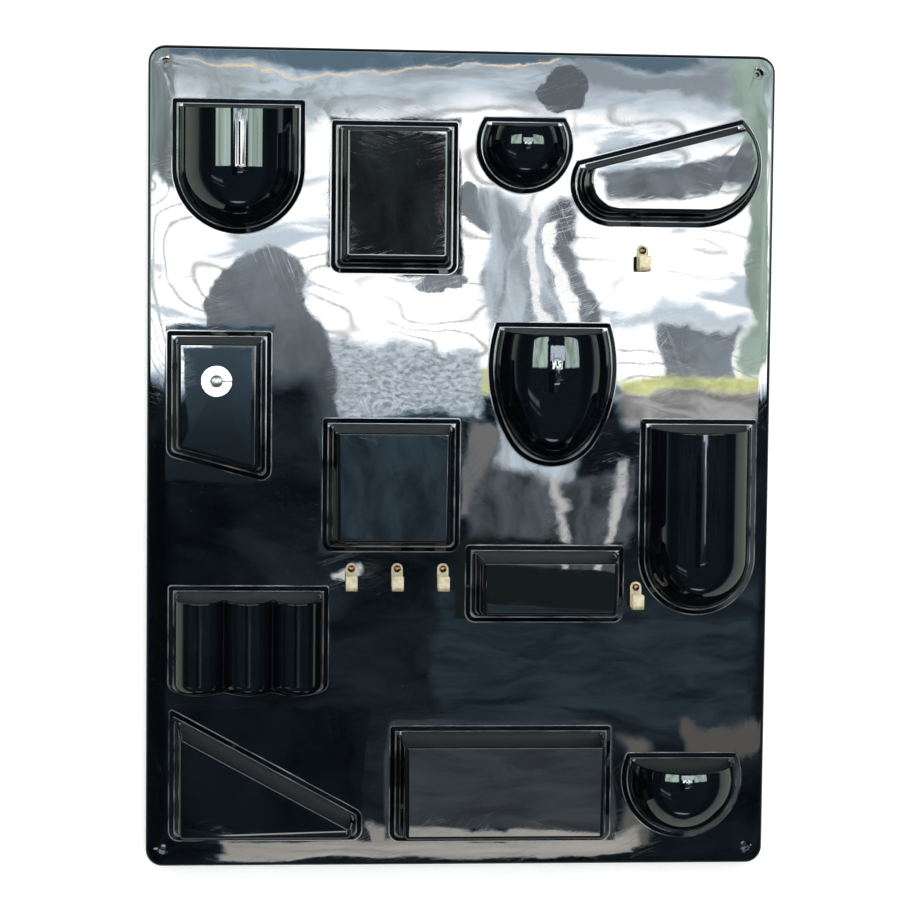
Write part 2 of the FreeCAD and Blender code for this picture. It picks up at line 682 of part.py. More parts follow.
def dome_centre(head, top, rim):
    """Height of the centre of the arc from a head's rim to its crown, below the crown."""
    sagitta = f"({top} - {rim})"
    return f"-({top} - ({head} ^ 2 + {sagitta} ^ 2) / (2 * {sagitta}))"


def hook_rivets():
    """One rivet for each hook, kept together as a group of separate solids."""
    group = named("Part::Compound", "hook_rivets")
    rivets = []
    for name, (x_rule, z_rule) in HOOKS.items():
        rivet = make_rivet(
            name.replace("hook", "rivet"), "sizes.rivet_shank", "sizes.rivet_head",
            "sizes.rivet_dome", "(sizes.strip_thick + 2 * sizes.running_gap)",
            "sizes.rivet_tail", "-sizes.skin", "sizes.tail_thick")
        bind(rivet, Placement__Base__x=x_rule, Placement__Base__y="-sizes.board_front",
             Placement__Base__z=z_rule)
        rivets.append(rivet)
    group.Links = rivets
    return group


def make_disc():
    """A flat washer with softened edges and one radial slit towards +X."""
    body = named("PartDesign::Body", "clip_disc")
    ring = body_sketch(body, "disc_circle", "XZ_Plane")
    circle(ring, "sizes.disc_radius")
    feature(body, "PartDesign::Pad", "disc_blank", ring, Length="sizes.disc_thick")
    dress(body, "PartDesign::Fillet", "disc_edge",
          lambda edge: edge.CenterOfMass.y < -0.5 * number("sizes.disc_thick"),
          "sizes.disc_edge")
    eye_ring = body_sketch(body, "disc_eye_circle", "XZ_Plane")
    circle(eye_ring, "sizes.pin_shank + sizes.running_gap")
    slit_sketch = body_sketch(body, "disc_slit_outline", "XZ_Plane")
    half_slit = "sizes.disc_slit / 2"
    draw_outline(slit_sketch, [
        ("sizes.pin_shank", half_slit), ("2 * sizes.disc_radius", half_slit),
        ("2 * sizes.disc_radius", f"-{half_slit}"), ("sizes.pin_shank", f"-{half_slit}")], {})
    for name, profile in (("disc_eye", eye_ring), ("disc_slit", slit_sketch)):
        before = body.Tip.Shape.Volume
        cut = feature(body, "PartDesign::Pocket", name, profile, Length="2 * sizes.disc_thick")
        if before - cut.Shape.Volume < 1:
            cut.Reversed = True
            doc.recompute()
    return bind(body, Placement__Base__x="sizes.disc_x", Placement__Base__z="sizes.disc_z",
                Placement__Base__y="-(sizes.board_front + sizes.reach + sizes.running_gap)")


def disc_rivet():
    """The larger rivet that holds the disc to the pocket's front wall."""
    rivet = make_rivet(
        "disc_rivet", "sizes.pin_shank", "sizes.pin_head", "sizes.pin_dome",
        "(sizes.disc_thick + 2 * sizes.running_gap)", "sizes.pin_tail", "-sizes.skin",
        "sizes.tail_thick")
    return bind(rivet, Placement__Base__x="sizes.disc_x", Placement__Base__z="sizes.disc_z",
                Placement__Base__y="-(sizes.board_front + sizes.reach)")


SUBPARTS.append(make_panel(added, removed))
for hook_name, hook_spot in HOOKS.items():
    SUBPARTS.append(make_hook(hook_name, *hook_spot))
SUBPARTS += [hook_rivets(), make_disc(), disc_rivet()]
doc.recompute()


# ---------------------------------------------------------------- check and write

for item in doc.Objects:
    if "Invalid" in item.State or "Error" in item.State:
        raise RuntimeError(f"{item.Label} did not compute")
for part in SUBPARTS:
    if part.Shape.isNull() or not part.Shape.isValid():
        raise RuntimeError(f"{part.Label} has no valid shape")

os.makedirs("parts", exist_ok=True)
for part in SUBPARTS:
    part.Shape.exportStep(f"parts/{part.Label}.step")
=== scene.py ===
"""Looks of the wall organiser: a glossy moulded board with thirteen pockets, round the CAD frame.

All shapes below are in millimetres until the mesh is finished. A point of the board is (x, z, h):
x to the right, z up, and h its height in front of the board's front skin. Materials, lights and
the camera use metres.
"""
import json
import math

import bmesh
import bpy
from mathutils import Matrix, Vector, geometry


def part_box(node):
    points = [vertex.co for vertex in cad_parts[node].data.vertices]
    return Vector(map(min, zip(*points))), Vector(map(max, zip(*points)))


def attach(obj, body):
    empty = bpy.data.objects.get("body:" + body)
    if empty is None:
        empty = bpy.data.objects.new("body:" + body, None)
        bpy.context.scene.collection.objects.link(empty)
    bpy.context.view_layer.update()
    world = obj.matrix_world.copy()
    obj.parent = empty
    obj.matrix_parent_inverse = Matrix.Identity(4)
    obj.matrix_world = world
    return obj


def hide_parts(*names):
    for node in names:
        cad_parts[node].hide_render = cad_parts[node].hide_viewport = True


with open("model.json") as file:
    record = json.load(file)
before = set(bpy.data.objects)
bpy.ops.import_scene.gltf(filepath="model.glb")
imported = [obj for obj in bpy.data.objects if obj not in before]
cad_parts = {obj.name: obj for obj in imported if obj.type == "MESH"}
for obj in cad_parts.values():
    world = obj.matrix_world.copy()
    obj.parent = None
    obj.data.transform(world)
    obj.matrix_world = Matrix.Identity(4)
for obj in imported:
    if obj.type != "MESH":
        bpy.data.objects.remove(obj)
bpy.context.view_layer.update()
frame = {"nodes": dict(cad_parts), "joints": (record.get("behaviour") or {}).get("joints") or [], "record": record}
MM = 0.001

# ---- sizes shared by all pockets

SKIN = 2.5  # wall thickness of the moulding
STEP = 2.8  # height of the ledge round a pocket
LEDGE = 6.0  # width of the ledge
REACH = 45.0  # height of a pocket's front
DRAFT = 4.2 / REACH  # how fast walls and openings lean inward
PLATE_INSET = 2.7  # a back plate's edge lies this far inside the pocket's outline
SLOPE = math.radians(38)  # tilt of the ledge's side
SLOPE_FOOT, SLOPE_EDGE = 0.8, 0.6  # radii at the foot and the edge of that side
SLOPE_START = -0.3  # inset at which the side's foot begins
TUBE_SHARE = 0.37  # how wide that side is under the tubes, compared with elsewhere
MOUTH_TOP = 4.3  # inset of the opening's upper end on the ledge
HIGHLIGHT_FADE = 0.9  # how far out from a ledge's foot its first ring lies, over which the painted highlight line fades
WALL_FOOT, FACE_EDGE = 1.8, 3.0  # radii at the foot and the edge of a pocket's wall
SOFT, TIGHT = 8.0, 2.0  # corner radii of the outlines
WALL_CORNER = 4.0  # corner radius of a pocket's wall
LEAST_CORNER = 0.5  # smallest corner radius of an outline
INNER_GAIN = 0.3  # a pocket's inner edge is this much rounder than its wall asks
POLE = math.radians(89.5)  # a rounded shell's last contour, just short of its front point
STRIP_GAP = 0.05  # a hook's strip stands this far in front of the skin
HIGHLIGHT_EDGE, HIGHLIGHT_FOOT = 0.8, 1.0  # strength of the painted highlight lines on a ledge's edges and on its foot
LIP_ROUND = 0.9  # how far the rounded lip stands over its two edges
FOOT_STEPS, EDGE_STEPS, CORNER_STEPS, LIP_STEPS = 4, 6, 8, 6
CUP_RINGS, BALL_RINGS, APEX_RINGS, EGG_RINGS, EGG_STEPS = 36, 30, 10, 8, 84
LOBE_STEPS, VALLEY_STEPS = 20, 5
RECESS = STEP - SKIN
SEAM = 1e-4  # points closer than this are one point

board_low, board_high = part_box("panel")
BOARD_FRONT = -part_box("hook_upper")[1].y / MM - STRIP_GAP


def quarter(steps):
    """Angles from 0 to a right angle."""
    return [0.5 * math.pi * i / steps for i in range(steps + 1)]


def lean(h):
    """Inset of a wall or an opening at height h."""
    return LEDGE + DRAFT * h


# ---- outlines

def outward(side, point):
    """Direction that points out of the outline, at a point of one of its sides."""
    if side[0] == "line":
        run = (side[2] - side[1]).normalized()
        return Vector((run.y, -run.x))
    return (point - side[3]).normalized()


def line(start, end):
    return ("line", Vector(start), Vector(end))


def arc(start, end, centre):
    """Counterclockwise arc."""
    start, centre = Vector(start), Vector(centre)
    return ("arc", start, Vector(end), centre, (start - centre).length)


def crossings(a, inset_a, b, inset_b):
    """Points where two sides cross once each is moved inward."""
    if a[0] == "line" and b[0] == "line":
        na, nb = outward(a, None), outward(b, None)
        ca, cb = na.dot(a[1]) - inset_a, nb.dot(b[1]) - inset_b
        det = na.x * nb.y - na.y * nb.x
        return [Vector(((ca * nb.y - cb * na.y) / det, (na.x * cb - nb.x * ca) / det))]
    if a[0] == "arc" and b[0] == "arc":
        ra, rb = a[4] - inset_a, b[4] - inset_b
        gap = b[3] - a[3]
        along = (gap.length_squared + ra * ra - rb * rb) / (2 * gap.length)
        across = math.sqrt(max(ra * ra - along * along, 0))
        u = gap.normalized()
        v = Vector((-u.y, u.x))
        return [a[3] + u * along + v * across, a[3] + u * along - v * across]
    if a[0] == "arc":
        a, inset_a, b, inset_b = b, inset_b, a, inset_a
    n = outward(a, None)
    radius = b[4] - inset_b
    off = n.dot(a[1]) - inset_a - n.dot(b[3])
    if abs(off) >= radius:
        return [b[3] + n * math.copysign(radius, off)]
    reach = math.sqrt(radius * radius - off * off)
    v = Vector((-n.y, n.x))
    return [b[3] + n * off + v * reach, b[3] + n * off - v * reach]


def spoke(angle):
    return Vector((math.cos(angle), math.sin(angle)))


def arc_points(centre, radius, start, end, steps):
    """Points strictly between two points of a circle, counterclockwise; all round if they meet."""
    first = math.atan2(start.y - centre.y, start.x - centre.x)
    last = math.atan2(end.y - centre.y, end.x - centre.x)
    if last < first + 1e-9:
        last += 2 * math.pi
    return [centre + radius * spoke(first + (last - first) * i / steps) for i in range(1, steps)]


class Outline:
    """A closed outline, counterclockwise from its top left corner; its last side is the opening."""

    def __init__(self, sides, smooth=(), cusps=(), steps=None):
        self.sides = sides
        self.smooth = set(smooth)
        self.cusps = set(cusps)
        self.steps = steps or [12 if side[0] == "arc" else 1 for side in sides]
        heights = [side[1].y for side in sides]
        self.low = [side[1].y < (min(heights) + max(heights)) / 2 for side in sides]

    def corner(self, index, insets, radius):
        """(end of the side before, rounding points, start of the side after)."""
        before, after = self.sides[index - 1], self.sides[index]
        near = after[1]
        if index in self.smooth:
            point = near - outward(after, near) * insets[index]
            return point, [], point
        options = crossings(before, insets[index - 1] + radius, after, insets[index] + radius)
        centre = min(options, key=lambda p: (p - near).length)
        if radius == 0:
            return centre, [], centre
        start = centre + outward(before, centre) * radius
        end = centre + outward(after, centre) * radius
        return start, arc_points(centre, radius, start, end, CORNER_STEPS), end

    def ring(self, inset, radii, opening=None, arcs=None):
        """(open chain from the left to the right end of the opening, the rest of the ring)."""
        insets = [inset if arcs is None or side[0] == "line" else arcs for side in self.sides]
        if opening is not None:
            insets[-1] = opening
        corners = [self.corner(i, insets, radii[i]) for i in range(len(self.sides))]
        chains = []
        for i, side in enumerate(self.sides):
            start, end = corners[i][2], corners[(i + 1) % len(self.sides)][0]
            if side[0] == "line":
                inner = [start.lerp(end, k / self.steps[i]) for k in range(1, self.steps[i])]
            else:
                inner = arc_points(side[3], side[4] - insets[i], start, end, self.steps[i])
            chains.append([start] + inner + [end])
        chain = chains[0]
        for i in range(1, len(chains) - 1):
            chain += corners[i][1]
            chain += chains[i] if i not in self.smooth else chains[i][1:]
        top = corners[-1][1] + chains[-1] + corners[0][1]
        return chain, top

    def radii(self, soft, tight, inset=0.0):
        """Corner radii: soft below, tight above, none where two of the tubes' arcs meet."""
        return [0.0 if index in self.cusps else max((soft if low else tight) - inset, LEAST_CORNER)
                for index, low in enumerate(self.low)]


def box_outline(left, right, bottom, top, rise_left=0.0, drop_right=0.0):
    tl, bl = (left, top), (left, bottom + rise_left)
    br, tr = (right, bottom), (right, top - drop_right)
    return Outline([line(tl, bl), line(bl, br), line(br, tr), line(tr, tl)])


def cup_outline(x, centre, radius, top):
    tl, bl = (x - radius, top), (x - radius, centre)
    br, tr = (x + radius, centre), (x + radius, top)
    return Outline([line(tl, bl), arc(bl, br, (x, centre)), line(br, tr), line(tr, tl)],
                   smooth=(1, 2), steps=[4, 56, 4, 1])


def round_outline(x, centre, radius, top):
    half = math.sqrt(radius ** 2 - (top - centre) ** 2)
    tl, tr = (x - half, top), (x + half, top)
    return Outline([arc(tl, tr, (x, centre)), line(tr, tl)], steps=[72, 1])


def egg_outline(x, centre, half, drop, top, flank, base):
    reach = math.sqrt(flank ** 2 - (top - centre) ** 2) - (flank - half)
    slope = flank / (flank - base)
    base_z = centre - drop + base
    join_x = (flank - half) * slope - (flank - half)
    join_z = centre - (centre - base_z) * slope
    tl, bl = (x - reach, top), (x - join_x, join_z)
    br, tr = (x + join_x, join_z), (x + reach, top)
    return Outline([arc(tl, bl, (x - half + flank, centre)), arc(bl, br, (x, base_z)),
                    arc(br, tr, (x + half - flank, centre)), line(tr, tl)],
                   smooth=(1, 2), steps=[24, 32, 24, 1])


def slant_outline(right, base, gap, left_radius, right_radius, angle, rise):
    """Two round ends on one base line; the opening is a chord of both."""
    right_x = right - right_radius
    left_c = Vector((right_x - gap, base + left_radius))
    right_c = Vector((right_x, base + right_radius))
    across = spoke(math.radians(angle))
    up = Vector((-across.y, across.x))
    far = rise + up.dot(right_c - left_c)
    tl = left_c + up * far - across * math.sqrt(left_radius ** 2 - far ** 2)
    tr = right_c + up * rise + across * math.sqrt(right_radius ** 2 - rise ** 2)
    bl, br = (left_c.x, base), (right_c.x, base)
    return Outline([arc(tl, bl, left_c), line(bl, br), arc(br, tr, right_c), line(tr, tl)],
                   smooth=(1, 2), steps=[32, 1, 48, 1])


def tube_outline(x, pitch, bottom, top, scallop):
    half = 1.5 * pitch + LEDGE
    centre = bottom + scallop
    side = centre - math.sqrt(scallop ** 2 - (half - pitch) ** 2)
    cusp = centre - math.sqrt(scallop ** 2 - (pitch / 2) ** 2)
    tl, bl = (x - half, top), (x - half, side)
    c1, c2 = (x - pitch / 2, cusp), (x + pitch / 2, cusp)
    br, tr = (x + half, side), (x + half, top)
    return Outline([line(tl, bl), arc(bl, c1, (x - pitch, centre)), arc(c1, c2, (x, centre)),
                    arc(c2, br, (x + pitch, centre)), line(br, tr), line(tr, tl)],
                   cusps=(2, 3), steps=[1, 10, 12, 10, 1, 1])


def around(name):
    """Left, right, bottom and top of a pocket's outline, read from its back plate."""
    low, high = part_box("back_plate_" + name)
    return (low.x / MM - PLATE_INSET, high.x / MM + PLATE_INSET,
            low.z / MM - PLATE_INSET, high.z / MM + PLATE_INSET)


# ---- mesh building

mesh = bmesh.new()
# painted highlight: how strongly each vertex carries a pale line that stands in for the gloss on ledge edges
HIGHLIGHT_LAYER = mesh.verts.layers.float.new("worn")


def points_at(chain, h, worn=0.0):
    """New vertices along a chain of points, all at one height."""
    made = [mesh.verts.new((p[0], -(BOARD_FRONT + h), p[1])) for p in chain]
    for vert in made:
        vert[HIGHLIGHT_LAYER] = worn
    return made


def face(corners):
    """A face without the corners that fall together."""
    kept = []
    for vert in corners:
        if all((vert.co - other.co).length > SEAM for other in kept):
            kept.append(vert)
    if len(kept) > 2:
        mesh.faces.new(kept)


def strip(a, b, closed=False):
    """Faces between two rows of as many vertices."""
    count = len(a)
    assert count == len(b), (count, len(b))
    for i in range(count if closed else count - 1):
        j = (i + 1) % count
        face([a[i], a[j], b[j], b[i]])


def cover(rows, closed=False):
    for a, b in zip(rows, rows[1:]):
        strip(a, b, closed)


def inside(point, loop):
    """Whether a point lies in a closed loop, by counting crossings."""
    hit = False
    for (x1, y1), (x2, y2) in zip(loop, loop[1:] + loop[:1]):
        if (y1 > point[1]) != (y2 > point[1]):
            if point[0] < (x2 - x1) * (point[1] - y1) / (y2 - y1) + x1:
                hit = not hit
    return hit


def fill(*loops, level=False):
    """Flat face between an outer loop and any holes in it, upright unless level."""
    def flattened(vert):
        return Vector((vert.co.x, vert.co.y if level else vert.co.z))

    verts, edges, flat_loops = [], [], []
    for loop in loops:
        kept = []
        for vert in loop:
            if not kept or (vert.co - kept[-1].co).length > SEAM:
                kept.append(vert)
        if (kept[0].co - kept[-1].co).length <= SEAM:
            kept.pop()
        first = len(verts)
        verts += kept
        edges += [(first + i, first + (i + 1) % len(kept)) for i in range(len(kept))]
        flat_loops.append([tuple(flattened(v)) for v in kept])
    flat = [flattened(v) for v in verts]
    out, _, faces, origin, _, _ = geometry.delaunay_2d_cdt(flat, edges, [], 0, SEAM / 10, True)
    for corners in faces:
        middle = sum((out[i] for i in corners), Vector((0, 0))) / len(corners)
        if sum(inside(middle, loop) for loop in flat_loops) == 1 and inside(middle, flat_loops[0]):
            face([verts[origin[i][0]] for i in corners])


def circle(x, z, radius, steps=32):
    return [Vector((x + radius * math.cos(2 * math.pi * i / steps),
                    z + radius * math.sin(2 * math.pi * i / steps))) for i in range(steps)]


def lip_rows(outer, inner, up):
    """Rounded strip over a pocket's cut edge; returns its rows from the outer to the inner edge."""
    rows = [outer]
    for step in range(1, LIP_STEPS):
        turn = math.pi * step / LIP_STEPS
        share, swell = (1 - math.cos(turn)) / 2, LIP_ROUND * math.sin(turn)
        rows.append([mesh.verts.new(a.co.lerp(b.co, share) + up * swell)
                     for a, b in zip(outer, inner)])
    rows.append(inner)
    cover(rows)
    return rows


def ledge_profile():
    """(inset, height, painted highlight) up the ledge's side, from the skin to the ledge's flat."""
    tilts = [SLOPE * i / FOOT_STEPS for i in range(FOOT_STEPS + 1)]
    points = [(SLOPE_START - HIGHLIGHT_FADE, 0.0, 0.0)]
    points += [(SLOPE_START + SLOPE_FOOT * math.sin(t), SLOPE_FOOT * (1 - math.cos(t)),
                HIGHLIGHT_FOOT if t < SLOPE / 2 else 0.0) for t in tilts]
    rise = STEP - (SLOPE_FOOT + SLOPE_EDGE) * (1 - math.cos(SLOPE))
    end = points[-1][0] + rise / math.tan(SLOPE) + SLOPE_EDGE * math.sin(SLOPE)
    points += [(end - SLOPE_EDGE * math.sin(t), STEP - SLOPE_EDGE * (1 - math.cos(t)),
                HIGHLIGHT_EDGE if t < SLOPE / 2 else 0.0) for t in tilts[::-1]]
    return points


def ledge_rings(outline):
    """The ledge's side; returns its first and last ring. Under the tubes it is steeper."""
    rings = []
    for inset, h, worn in ledge_profile():
        arcs = SLOPE_START + (inset - SLOPE_START) * TUBE_SHARE if outline.cusps else inset
        chain, top = outline.ring(inset, outline.radii(SOFT, TIGHT, inset), arcs=arcs)
        rings.append(points_at(chain + top, h, worn))
    cover(rings, closed=True)
    return rings[0], rings[-1]


def recess_rings(outline):
    """The recess behind a pocket; returns its floor ring and its ring on the back of the skin."""
    chain, top = outline.ring(SKIN, outline.radii(SOFT - SKIN, LEAST_CORNER))
    floor, back = points_at(chain + top, RECESS), points_at(chain + top, -SKIN)
    strip(floor, back, closed=True)
    return floor, back


def close_pocket(outline, ledge, outer_rings, inner_rings, sill, floor):
    """Join both shells of a pocket over its lip and finish the ledge and the recess floor.

    outer_rings and inner_rings have the same count and start on the ledge; sill is the inner
    shell's ring on the recess floor. Each ring runs from the left to the right end of the opening.
    """
    edges = [[ring[0] for ring in rings] + [ring[-1] for ring in rings[::-1]]
             for rings in (outer_rings, inner_rings)]
    normal = outward(outline.sides[-1], None)
    rows = lip_rows(*edges, Vector((normal.x, 0, normal.y)))
    add_mouth(outline, ledge, outer_rings[0], inner_rings[0], rows, sill, floor)


def add_mouth(outline, ledge, foot, inner_foot, rows, sill, floor):
    """The cut through the ledge above a pocket, down to the back plate."""
    normal = outward(outline.sides[-1], None)
    reach = outline.sides[-1][1].dot(normal) - MOUTH_TOP

    def lifted(vert, h):
        flat = Vector((vert.co.x, vert.co.z))
        return points_at([flat + normal * (reach - flat.dot(normal))], h)[0]

    upper = [inner_foot[-1], lifted(inner_foot[-1], STEP), lifted(inner_foot[0], STEP),
             inner_foot[0]]
    lower = [sill[-1], lifted(sill[-1], RECESS), lifted(sill[0], RECESS), sill[0]]
    strip(upper, lower)
    right_row = [row[-1] for row in rows]
    left_row = [row[0] for row in rows]
    fill(ledge, foot + right_row[1:-1] + upper + left_row[-2:0:-1])
    fill(floor, sill + lower[1:3])


# painted highlight: a pale line along a wall's foot
def paint_highlight(ring):
    for vert in ring:
        vert[HIGHLIGHT_LAYER] = HIGHLIGHT_EDGE


def flat_pocket(outline, hole=None):
    """Straight drafted walls and a flat front with rounded edges."""
    first, ledge = ledge_rings(outline)
    floor, back = recess_rings(outline)
    joints = len(outline.sides)

    def wall(h, extra, corner, opening):
        radii = [corner if 0 < i < joints - 1 and i not in outline.smooth else 0
                 for i in range(joints)]
        chain, _ = outline.ring(lean(h) + extra, radii, lean(h) + opening)
        return points_at(chain, h)

    outer, inner = [], []
    for a in quarter(FOOT_STEPS):
        flare = WALL_FOOT * (1 - math.sin(a))
        h = STEP + WALL_FOOT * (1 - math.cos(a))
        outer.append(wall(h, -flare, WALL_CORNER + flare, LIP_ROUND))
        inner.append(wall(h, SKIN, WALL_CORNER - SKIN, LIP_ROUND))
    # painted highlight along the wall's foot
    paint_highlight(outer[0])
    inner_edge = FACE_EDGE - SKIN + INNER_GAIN
    for a in quarter(EDGE_STEPS):
        h = REACH - FACE_EDGE * (1 - math.sin(a))
        fall = FACE_EDGE * (1 - math.cos(a))
        outer.append(wall(h, fall, WALL_CORNER - fall, LIP_ROUND))
        h = REACH - SKIN - inner_edge * (1 - math.sin(a))
        fall = inner_edge * (1 - math.cos(a))
        inner.append(wall(h, SKIN + fall, WALL_CORNER - SKIN - fall, LIP_ROUND))
    sill = wall(RECESS, SKIN, WALL_CORNER - SKIN, LIP_ROUND)
    cover(outer)
    cover([sill] + inner)
    holes = [[], []]
    if hole:
        ring = circle(*hole)
        holes = [[points_at(ring, REACH)], [points_at(ring, REACH - SKIN)]]
        strip(holes[0][0], holes[1][0], closed=True)
    fill(outer[-1], *holes[0])
    fill(inner[-1], *holes[1])
    close_pocket(outline, ledge, outer, inner, sill, floor)
    return first, back


def round_pocket(outline, radius_of, contour, apex_steps=0, ring_steps=BALL_RINGS):
    """A rounded shell whose level contours shrink towards the front.

    radius_of(shrink) is the shell's reach from the skin; contour(h, extra, shrink) is its open
    chain at one height, grown outward by extra.
    """
    first, ledge = ledge_rings(outline)
    floor, back = recess_rings(outline)
    outer, inner = [], []
    for a in quarter(FOOT_STEPS):
        h = STEP + WALL_FOOT * (1 - math.cos(a))
        outer.append(points_at(contour(h, WALL_FOOT * (1 - math.sin(a)), 0), h))
        inner.append(points_at(contour(h, 0, SKIN), h))
    # painted highlight along the shell's foot
    paint_highlight(outer[0])
    for rings, shrink in ((outer, 0), (inner, SKIN)):
        top = radius_of(shrink)
        apex = opening_apex(contour, shrink, top) if apex_steps else top * math.sin(POLE)
        start = math.asin((STEP + WALL_FOOT) / apex)
        for i in range(1, ring_steps + 1):
            h = apex * math.sin(start + (math.pi / 2 - start) * i / ring_steps)
            rings.append(points_at(contour(h, 0, shrink), h))
        low = math.asin(apex / top)
        for i in range(1, apex_steps + 1):
            h = top * math.sin(low + (POLE - low) * i / apex_steps)
            rings.append(points_at(contour(h, 0, shrink), h))
    sill = points_at(contour(RECESS, 0, SKIN), RECESS)
    cover(outer)
    cover([sill] + inner)
    fill(outer[-1])
    fill(inner[-1])
    open_rings = len(outer) - apex_steps
    close_pocket(outline, ledge, outer[:open_rings], inner[:open_rings], sill, floor)
    return first, back


def opening_apex(contour, shrink, top):
    """Height at which the opening's two ends meet on a rounded shell."""
    low, high = STEP, top * 0.9999
    for _ in range(60):
        middle = (low + high) / 2
        chain = contour(middle, 0, shrink)
        if (chain[0] - chain[-1]).length > SEAM / 10:
            low = middle
        else:
            high = middle
    return high


def cup_contour(outline, radius):
    """Contours of a half cylinder on a quarter ball, or of a ball."""
    def contour(h, extra, shrink):
        reach = math.sqrt(max((radius - LEDGE - shrink) ** 2 - h * h, 0)) + extra
        return outline.ring(radius - reach, [0] * len(outline.sides), lean(h) + LIP_ROUND)[0]
    return contour


def egg_contour(x, centre, half, drop, top):
    """Contours of an ellipsoid."""
    def contour(h, extra, shrink):
        share = math.sqrt(max(1 - (h / (REACH - shrink)) ** 2, 0))
        wide = (half - LEDGE - shrink) * share + extra
        tall = (drop - LEDGE - shrink) * share + extra
        level = (top - lean(h) - LIP_ROUND - centre) / tall
        begin = math.asin(max(-1, min(1, level)))
        turns = [math.pi - begin + (math.pi + 2 * begin) * i / EGG_STEPS
                 for i in range(EGG_STEPS + 1)]
        return [Vector((x + wide * math.cos(t), centre + tall * math.sin(t))) for t in turns]
    return contour


WEB, VALLEY, TUBE_FLARE = 22.0, 1.0, 1.0  # height of the tubes' straight part; small radii
TUBE_ROUND = 8.0  # radius of the tubes' foot


def tube_pocket(outline, x, pitch, floor_z):
    """Three upright tubes side by side, their foot rounded."""
    first, ledge = ledge_rings(outline)
    recess_floor, back = recess_rings(outline)
    half = 1.5 * pitch
    rise = math.sqrt((pitch / 2 + VALLEY) ** 2 - (pitch / 2) ** 2)
    lobe_end = math.atan2(rise, pitch / 2)
    foot_box = box_outline(x - half, x + half, floor_z, outline.sides[-1][1].y)

    def profile(inset, heights):
        """(x, h) points across the three tubes, moved inward by inset."""
        points = [(x - half + inset, h) for h in heights]
        for index in (-1, 0, 1):
            centre = x + index * pitch
            begin = math.pi if index == -1 else math.pi - lobe_end
            end = 0 if index == 1 else lobe_end
            for i in range(1 if index == -1 else 0, LOBE_STEPS + 1):
                turn = begin + (end - begin) * i / LOBE_STEPS
                points.append((centre + (pitch / 2 - inset) * math.cos(turn),
                               WEB + (pitch / 2 - inset) * math.sin(turn)))
            if index < 1:
                for i in range(1, VALLEY_STEPS):
                    turn = math.pi + lobe_end + (math.pi - 2 * lobe_end) * i / VALLEY_STEPS
                    points.append((centre + pitch / 2 + (VALLEY + inset) * math.cos(turn),
                                   WEB + rise + (VALLEY + inset) * math.sin(turn)))
        return points + [(x + half - inset, h) for h in heights[::-1]][1:]

    top = outline.sides[-1][1].y

    def shell(shrink, heights, flares):
        """Grid of columns across the tubes by levels down them, then its foot on the ledge."""
        radius = TUBE_ROUND - shrink
        levels = [(None, 0.0)] + [(floor_z + shrink + radius * (1 - math.sin(a)),
                                   radius * (1 - math.cos(a))) for a in quarter(CORNER_STEPS)]
        columns = None
        for z, fall in levels:
            row = profile(shrink + fall, heights)
            verts = [mesh.verts.new((px, -(BOARD_FRONT + h),
                                     z if z is not None else top - lean(h) - LIP_ROUND))
                     for px, h in row]
            columns = [[v] for v in verts] if columns is None else \
                [c + [v] for c, v in zip(columns, verts)]
        cover(columns)
        fill([c[-1] for c in columns], level=True)
        foot = columns[0] + columns[-1][::-1]
        rings = [foot]
        for h, extra in flares:
            chain, _ = foot_box.ring(shrink - extra, [0, radius + extra, radius + extra, 0],
                                     lean(h) + LIP_ROUND)
            rings.append(points_at(chain, h))
            strip(rings[-2], rings[-1])
        return columns, rings

    flares = [(STEP + TUBE_FLARE * (1 - math.cos(a)), TUBE_FLARE * (1 - math.sin(a)))
              for a in quarter(FOOT_STEPS)[-2::-1]]
    above = [STEP + TUBE_FLARE, WEB]
    outer_columns, outer_rings = shell(0.0, above, flares)
    inner_columns, inner_rings = shell(SKIN, above, [(h, 0.0) for h, _ in flares] + [(RECESS, 0.0)])
    sill = inner_rings.pop()
    lips = []
    for columns, rings in ((outer_columns, outer_rings), (inner_columns, inner_rings)):
        lips.append([ring[0] for ring in rings[:0:-1]] + [c[0] for c in columns]
                    + [ring[-1] for ring in rings[1:]])
    rows = lip_rows(lips[0], lips[1], Vector((0, 0, 1)))
    add_mouth(outline, ledge, outer_rings[-1], inner_rings[-1], rows, sill, recess_floor)
    return first, back


# ---- the thirteen pockets

CLIP_TALL, CLIP_RISE, CLIP_HOLE = 124.7, 22.4, 2.45
TRIANGLE_TALL, TRIANGLE_DROP = 110.5, 87.4
SLANT_GAP, SLANT_RADII, SLANT_ANGLE, SLANT_RISE = 73.0, (35.0, 52.0), 14.7, 27.4
EGG_DROP, EGG_FLANK, EGG_BASE = 82.5, 120.0, 42.3
TUBE_PITCH, TUBE_SCALLOP = 40.0, 62.0

pockets = []  # where each pocket meets the skin's front and back


def middle_of(node):
    low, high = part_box(node)
    return (low.x + high.x) / 2 / MM, (low.z + high.z) / 2 / MM


for tray in ("upper_tray", "square_bin", "short_tray", "lower_tray"):
    pockets.append(flat_pocket(box_outline(*around(tray))))

left, right, _, top = around("clip_bin")
pockets.append(flat_pocket(
    box_outline(left, right, top - CLIP_TALL, top, rise_left=CLIP_RISE),
    hole=(*middle_of("disc_rivet"), CLIP_HOLE)))

left, right, bottom, _ = around("triangle_bin")
pockets.append(flat_pocket(
    box_outline(left, right, bottom, bottom + TRIANGLE_TALL, drop_right=TRIANGLE_DROP)))

_, right, bottom, _ = around("slant_bin")
pockets.append(flat_pocket(
    slant_outline(right, bottom, SLANT_GAP, *SLANT_RADII, SLANT_ANGLE, SLANT_RISE)))

